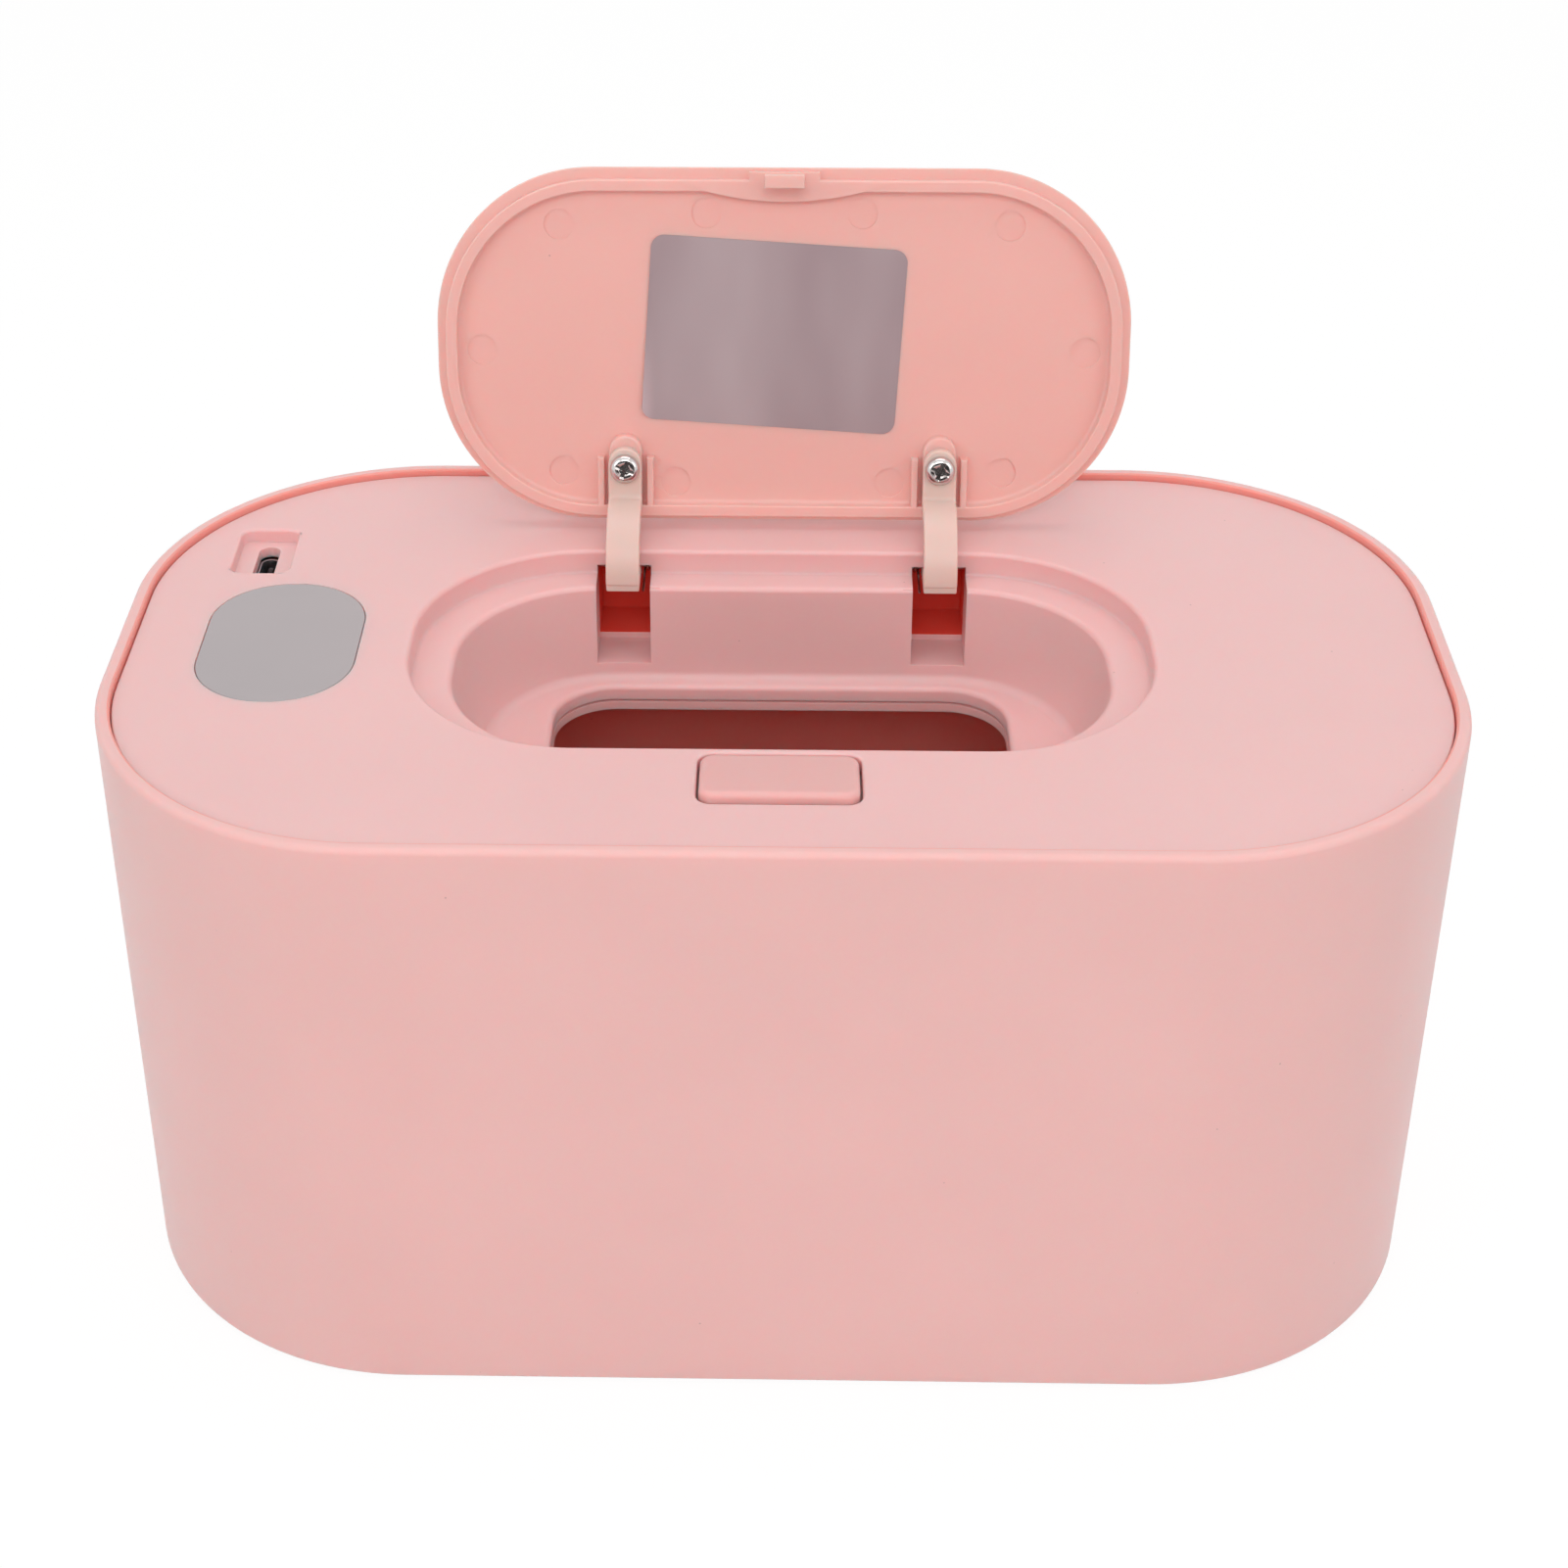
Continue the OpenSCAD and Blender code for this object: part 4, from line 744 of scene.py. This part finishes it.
# each ramp is a block whose top is pushed forward, so that its front slopes
ramps = []
for side in (-7, 7):
    ramp = block((side - 1, -35.5, 87), (side + 1, -33.5, 92.8))
    pick(ramp)
    bpy.ops.object.mode_set(mode="EDIT")
    bpy.ops.mesh.select_all(action="DESELECT")
    mesh = bmesh.from_edit_mesh(ramp.data)
    for vertex in mesh.verts:
        if vertex.co.z > 90 * MM and vertex.co.y < -34 * MM:
            vertex.co.y -= 5.6 * MM
    bmesh.update_edit_mesh(ramp.data)
    bpy.ops.object.mode_set(mode="OBJECT")
    ramps.append(ramp)
carve(push_button, together(ramps), "UNION")
smooth(push_button)
button_plastic = moulded_plastic("button_plastic", linear(235, 186, 183))
dress(push_button, button_plastic)
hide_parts("latch_button")
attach(push_button, "button")


# The latch under the button
# A white acetal slider and its wire spring on a guide plate with two rails,
# which two small screws hold to posts of the cover.
white_acetal = moulded_plastic("white_acetal", linear(226, 222, 214), 0.38, grain=0.1, glow_in=0.2)
dress(nodes["latch_slider"], white_acetal)
dress(nodes["latch_guide"], white_acetal)
dress(nodes["latch_spring"], spring_steel)
dress(nodes["guide_screws"], screw_steel)


# The lid
# One pink moulding, drawn closed and then swung open: a skin with a shoulder, a
# rib and a crescent web under it, the catch, and bosses and ribs for the arms.
pin_y, pin_z, screw_y, open_angle = 33.3, 89.6, 18.2, 104.5


def swing_open(piece):
    turn = Matrix.Rotation(math.radians(-open_angle), 4, "X")
    pin = Vector((0, pin_y, pin_z)) * MM
    put_down(piece, Matrix.Translation(pin) @ turn @ Matrix.Translation(-pin))


skin_under, into_skin, shoulder_under, rib_under = 92.5, 92.8, 91.9, 90.4
lid = hooped_shell("lid_shell", [
    (107.5, 55, 24.3, panel_top, 1.85),
    (107.5, 55, 24.3, shoulder_under, 0.2),
    (104.7, 52.5, 23.35, shoulder_under, 0.1, 0.5),
    (104.7, 52.5, 23.35, rib_under, 0.22, 0.5),
    (101.2, 49, 21.6, rib_under, 0.22, 0.5),
    (101.2, 49, 21.6, skin_under, 0.6, 0.5),
], closed=False, steps=32, centre=(0, -0.5))

# the web is the piece of a wide disc that is left inside the rib at the front
web_half, web_bulge, web_back = 16.7, 3, -23.05
web_radius = (web_half ** 2 + web_bulge ** 2) / (2 * web_bulge)
web = peg(0, web_back - web_radius, 90.3, 92.9, web_radius, 256)
carve(web, block((-16.2, -26.1, 90), (16.2, -22, 93)), "INTERSECT")
catch = block((-5.4, -27.47, 90.36), (5.4, -25, into_skin))
hook_half, hook_end = 3, 83.7
hook = block((-hook_half, -26.95, hook_end), (hook_half, -25.85, 90.6))
lip = block((-hook_half, -27.85, hook_end), (hook_half, -26.85, 84.8))
carve(hook, lip, "UNION")
round_edges(hook, lambda x, y, z: z < 90, 0.15, 2)
carve(catch, hook, "UNION")
carve(lid, web, "UNION")
carve(lid, catch, "UNION")
supports = []
tab_width, tab_corner, boss_under, side_rib_under = 5.2, 2.59, 90.43, 90.42
for side in (-hinge_x, hinge_x):
    boss = rounded_sheet(tab_width, 15.4, tab_corner, boss_under, (side, 21.1), 12)
    bpy.ops.mesh.extrude_region_move(TRANSFORM_OT_translate={"value": (0, 0, 2.4 * MM)})
    bpy.ops.mesh.select_all(action="SELECT")
    bpy.ops.mesh.normals_make_consistent(inside=False)
    bpy.ops.mesh.bisect(plane_co=(0, 25.6 * MM, 0), plane_no=(0, 1, 0), clear_outer=True, use_fill=True)
    bpy.ops.object.mode_set(mode="OBJECT")
    round_edges(boss, lambda x, y, z: near(z, boss_under) and y < 25.5, 0.4)
    supports.append(boss)
    for offset in (-3.85, 3.85):
        rib = block((side + offset - 0.55, 16.9, side_rib_under), (side + offset + 0.55, 25.5, into_skin))
        round_edges(rib, lambda x, y, z: near(z, side_rib_under), 0.25, 2)
        supports.append(rib)
carve(lid, together(supports), "UNION")
# the faint round marks of the mould's ejectors, sunk into the underside
mark_spots = ((-34.7, -19.2), (-12, -21), (12, -21), (34.7, -19.2), (-46.9, 0.3), (46.9, 0.3),
    (-34.4, 19.4), (-16.8, 21.1), (16.8, 21.1), (34.4, 19.4))
carve(lid, together([peg(x, y, 91, 92.78, 2.35, 40) for x, y in mark_spots]))
carve(lid, together([peg(side, screw_y, 89.4, 93.1, 0.97, 16) for side in (-hinge_x, hinge_x)]))
swing_open(lid)
smooth(lid)
# its pink is a little warmer than the tub's: painted light, for the light that passes through the thin
# lid and bounces under it
lid_plastic = moulded_plastic("lid_plastic", linear(242, 195, 187))
dress(lid, lid_plastic)
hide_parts("lid")
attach(lid, "lid")


# The sticker under the lid
# A blank silver foil, stuck on by hand a little askew, with its free left edge
# and lower corner curling off the plastic.
sticker_width, sticker_depth, sticker_askew = 39.6, 28.8, 3.5
sticker = rounded_sheet(sticker_width, sticker_depth, 2, 0, (0, 0), 8)
bpy.ops.mesh.inset(thickness=0.2 * MM)
bpy.ops.mesh.select_all(action="SELECT")
for step in range(1, 16):
    cut = -sticker_width / 2 + 0.5 * step
    bpy.ops.mesh.bisect(plane_co=(cut * MM, 0, 0), plane_no=(1, 0, 0))
    bpy.ops.mesh.select_all(action="SELECT")
for step in range(1, 12):
    cut = -sticker_depth / 2 + sticker_depth * step / 12
    bpy.ops.mesh.bisect(plane_co=(0, cut * MM, 0), plane_no=(0, 1, 0))
    bpy.ops.mesh.select_all(action="SELECT")
# free runs from 0 to 1 over the loose strip at its edge, corner from its middle up
loose_strip = 3.2
mesh = bmesh.from_edit_mesh(sticker.data)
for vertex in mesh.verts:
    x, y = vertex.co.x / MM, vertex.co.y / MM
    free = max(0, -16.6 - x) / loose_strip
    corner = max(0, (y + 2) / 16.3)
    vertex.co.z -= (0.16 * free ** 2 + 0.5 * free ** 2 * corner) * MM
bmesh.update_edit_mesh(sticker.data)
bpy.ops.object.mode_set(mode="OBJECT")
sticker.name = "foil_sticker"
apply_modifier(sticker, "SOLIDIFY", thickness=0.1 * MM, offset=0)
put_down(sticker, Matrix.Translation(Vector((-1.5, -2.2, 92.44)) * MM)
    @ Matrix.Rotation(math.radians(sticker_askew), 4, "Z"))
swing_open(sticker)
smooth(sticker)
silver_foil, tree, shader, place = blank_paint("silver_foil")
stretch = tree.nodes.new("ShaderNodeMapping")
stretch.inputs["Scale"].default_value = (1, 0.35, 0.35)
# the foil's tone runs in soft stretched streaks from darker to lighter: a painted sheen
painted_sheen = tree.nodes.new("ShaderNodeTexNoise")
painted_sheen.inputs["Scale"].default_value = 55
shades = tree.nodes.new("ShaderNodeValToRGB")
shades.color_ramp.elements[0].position = 0.3
shades.color_ramp.elements[1].position = 0.72
shades.color_ramp.elements[0].color = (*linear(182, 158, 163), 1)
shades.color_ramp.elements[1].color = (*linear(212, 192, 195), 1)
brushed = tree.nodes.new("ShaderNodeMapping")
brushed.inputs["Scale"].default_value = (1, 22, 22)
lines = tree.nodes.new("ShaderNodeTexNoise")
lines.inputs["Scale"].default_value = 260
crease = tree.nodes.new("ShaderNodeBump")
crease.inputs["Strength"].default_value = 0.08
crease.inputs["Distance"].default_value = 0.00004
tree.links.new(place.outputs["Object"], stretch.inputs["Vector"])
tree.links.new(place.outputs["Object"], brushed.inputs["Vector"])
tree.links.new(stretch.outputs["Vector"], painted_sheen.inputs["Vector"])
tree.links.new(brushed.outputs["Vector"], lines.inputs["Vector"])
tree.links.new(painted_sheen.outputs["Fac"], shades.inputs["Fac"])
tree.links.new(shades.outputs["Color"], shader.inputs["Base Color"])
tree.links.new(lines.outputs["Fac"], crease.inputs["Height"])
tree.links.new(crease.outputs["Normal"], shader.inputs["Normal"])
shader.inputs["Metallic"].default_value = 0.75
shader.inputs["Roughness"].default_value = 0.38
dress(sticker, silver_foil)
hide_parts("lid_sticker")
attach(sticker, "lid")


# The hinge arms
# Two goose-neck arms of milky nylon. A flat tab with a round end is screwed
# under the lid, the neck runs round the pin and the leg ends in the pin's eye.
arm_nylon = moulded_plastic("arm_nylon", linear(233, 206, 196), 0.42, grain=0.08)
bend_y, bend_z, leg_angle = 22.32, 87.65, 98.5
tab_under, tab_thickness = 88.4, 2
neck_start = math.degrees(math.atan2(pin_z - bend_z, pin_y - bend_y))
for name, side, node in (("milky_arm_left", -hinge_x, "hinge_arm_left"),
        ("milky_arm_right", hinge_x, "hinge_arm_right")):
    arm = rounded_sheet(tab_width, 16, tab_corner, tab_under, (side, 23), 12)
    bpy.ops.mesh.extrude_region_move(TRANSFORM_OT_translate={"value": (0, 0, tab_thickness * MM)})
    bpy.ops.mesh.select_all(action="SELECT")
    bpy.ops.mesh.normals_make_consistent(inside=False)
    bpy.ops.mesh.bisect(plane_co=(0, bend_y * MM, 0), plane_no=(0, 1, 0), clear_outer=True, use_fill=True)
    bpy.ops.mesh.select_mode(type="FACE")
    bpy.ops.mesh.select_all(action="DESELECT")
    mesh = bmesh.from_edit_mesh(arm.data)
    for face in mesh.faces:
        if face.normal.y > 0.9 and face.calc_center_median().y > (bend_y - 0.1) * MM:
            face.select_set(True)
    bmesh.update_edit_mesh(arm.data)
    bpy.ops.mesh.spin(steps=12, angle=math.radians(90 - neck_start),
        center=(side * MM, bend_y * MM, bend_z * MM), axis=(1, 0, 0))
    bpy.ops.mesh.spin(steps=22, angle=math.radians(neck_start - leg_angle),
        center=(side * MM, pin_y * MM, pin_z * MM), axis=(1, 0, 0))
    bpy.ops.mesh.select_all(action="SELECT")
    bpy.ops.mesh.remove_doubles(threshold=0.000001)
    bpy.ops.mesh.select_all(action="SELECT")
    bpy.ops.mesh.normals_make_consistent(inside=False)
    bpy.ops.object.mode_set(mode="OBJECT")
    arm.name = name
    apply_modifier(arm, "BEVEL", width=0.3 * MM, segments=3, limit_method="ANGLE",
        angle_limit=math.radians(50))
    leg = block((side - 2.56, 0.5, -1), (side + 2.56, 10.2, 1))
    round_edges(leg, lambda x, y, z: y > 0, 0.25)
    put_down(leg, Matrix.Translation(Vector((0, pin_y, pin_z)) * MM)
        @ Matrix.Rotation(math.radians(180 + leg_angle), 4, "X"))
    carve(arm, leg, "UNION")
    eye = peg(side, 0, -2.52, 2.52, 2, 40)
    bore = peg(side, 0, -4, 4, 1.04, 24)
    for part in (eye, bore):
        put_down(part, Matrix.Translation(Vector((side, pin_y, pin_z)) * MM)
            @ Matrix.Rotation(math.pi / 2, 4, "Y") @ Matrix.Translation(Vector((-side, 0, 0)) * MM))
    carve(arm, eye, "UNION")
    carve(arm, together([bore, peg(side, screw_y, 87, 91.5, 1.1, 24)]))
    swing_open(arm)
    smooth(arm)
    dress(arm, arm_nylon)
    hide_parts(node)
    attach(arm, "lid")


# The lid screws
# Two nickel-plated pan-head screws with a cross recess, one through each arm.
nickel_plate = bright_metal("nickel_plate", linear(214, 208, 206), 0.13, grain=500)
head_top, tip = 87.1, 93
first = peg(-hinge_x, screw_y, head_top, tab_under, 2.3, 48)
round_edges(first, lambda x, y, z: near(z, head_top), 0.95, 6)
recess = [peg(-hinge_x, screw_y, 86.5, 87.75, 0.85, 24)]
for turn in (20, 110):
    wing = block((-1.5, -0.34, 86.5), (1.5, 0.34, 87.85))
    put_down(wing, Matrix.Translation(Vector((-hinge_x, screw_y, 0)) * MM)
        @ Matrix.Rotation(math.radians(turn), 4, "Z"))
    recess.append(wing)
carve(first, together(recess), overlaps=True)


def at_recess(x, y, z):
    return abs(z - head_top) < 0.02 and math.hypot(x + hinge_x, y - screw_y) < 1.7


round_edges(first, at_recess, 0.08, 2)
shank = peg(-hinge_x, screw_y, 88.3, tip, 0.95, 24)
round_edges(shank, lambda x, y, z: near(z, tip), 0.4, 3)
carve(first, shank, "UNION")
first.name = "lid_screw_pair"
second = first.copy()
second.data = first.data.copy()
scene.collection.objects.link(second)
second.location.x += 2 * hinge_x * MM
pick(second)
bpy.ops.object.transform_apply(location=True, rotation=True, scale=True)
lid_screws = together([first, second])
swing_open(lid_screws)
smooth(lid_screws)
dress(lid_screws, nickel_plate)
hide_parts("lid_screws")
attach(lid_screws, "lid")


# The hinge pins and springs
# Ground steel pins held in the cheeks, each with a wound spring that swings
# the lid open: one leg bears on the panel, the other on the arm.
dress(nodes["hinge_pins"], screw_steel)
dress(nodes["hinge_springs"], spring_steel)
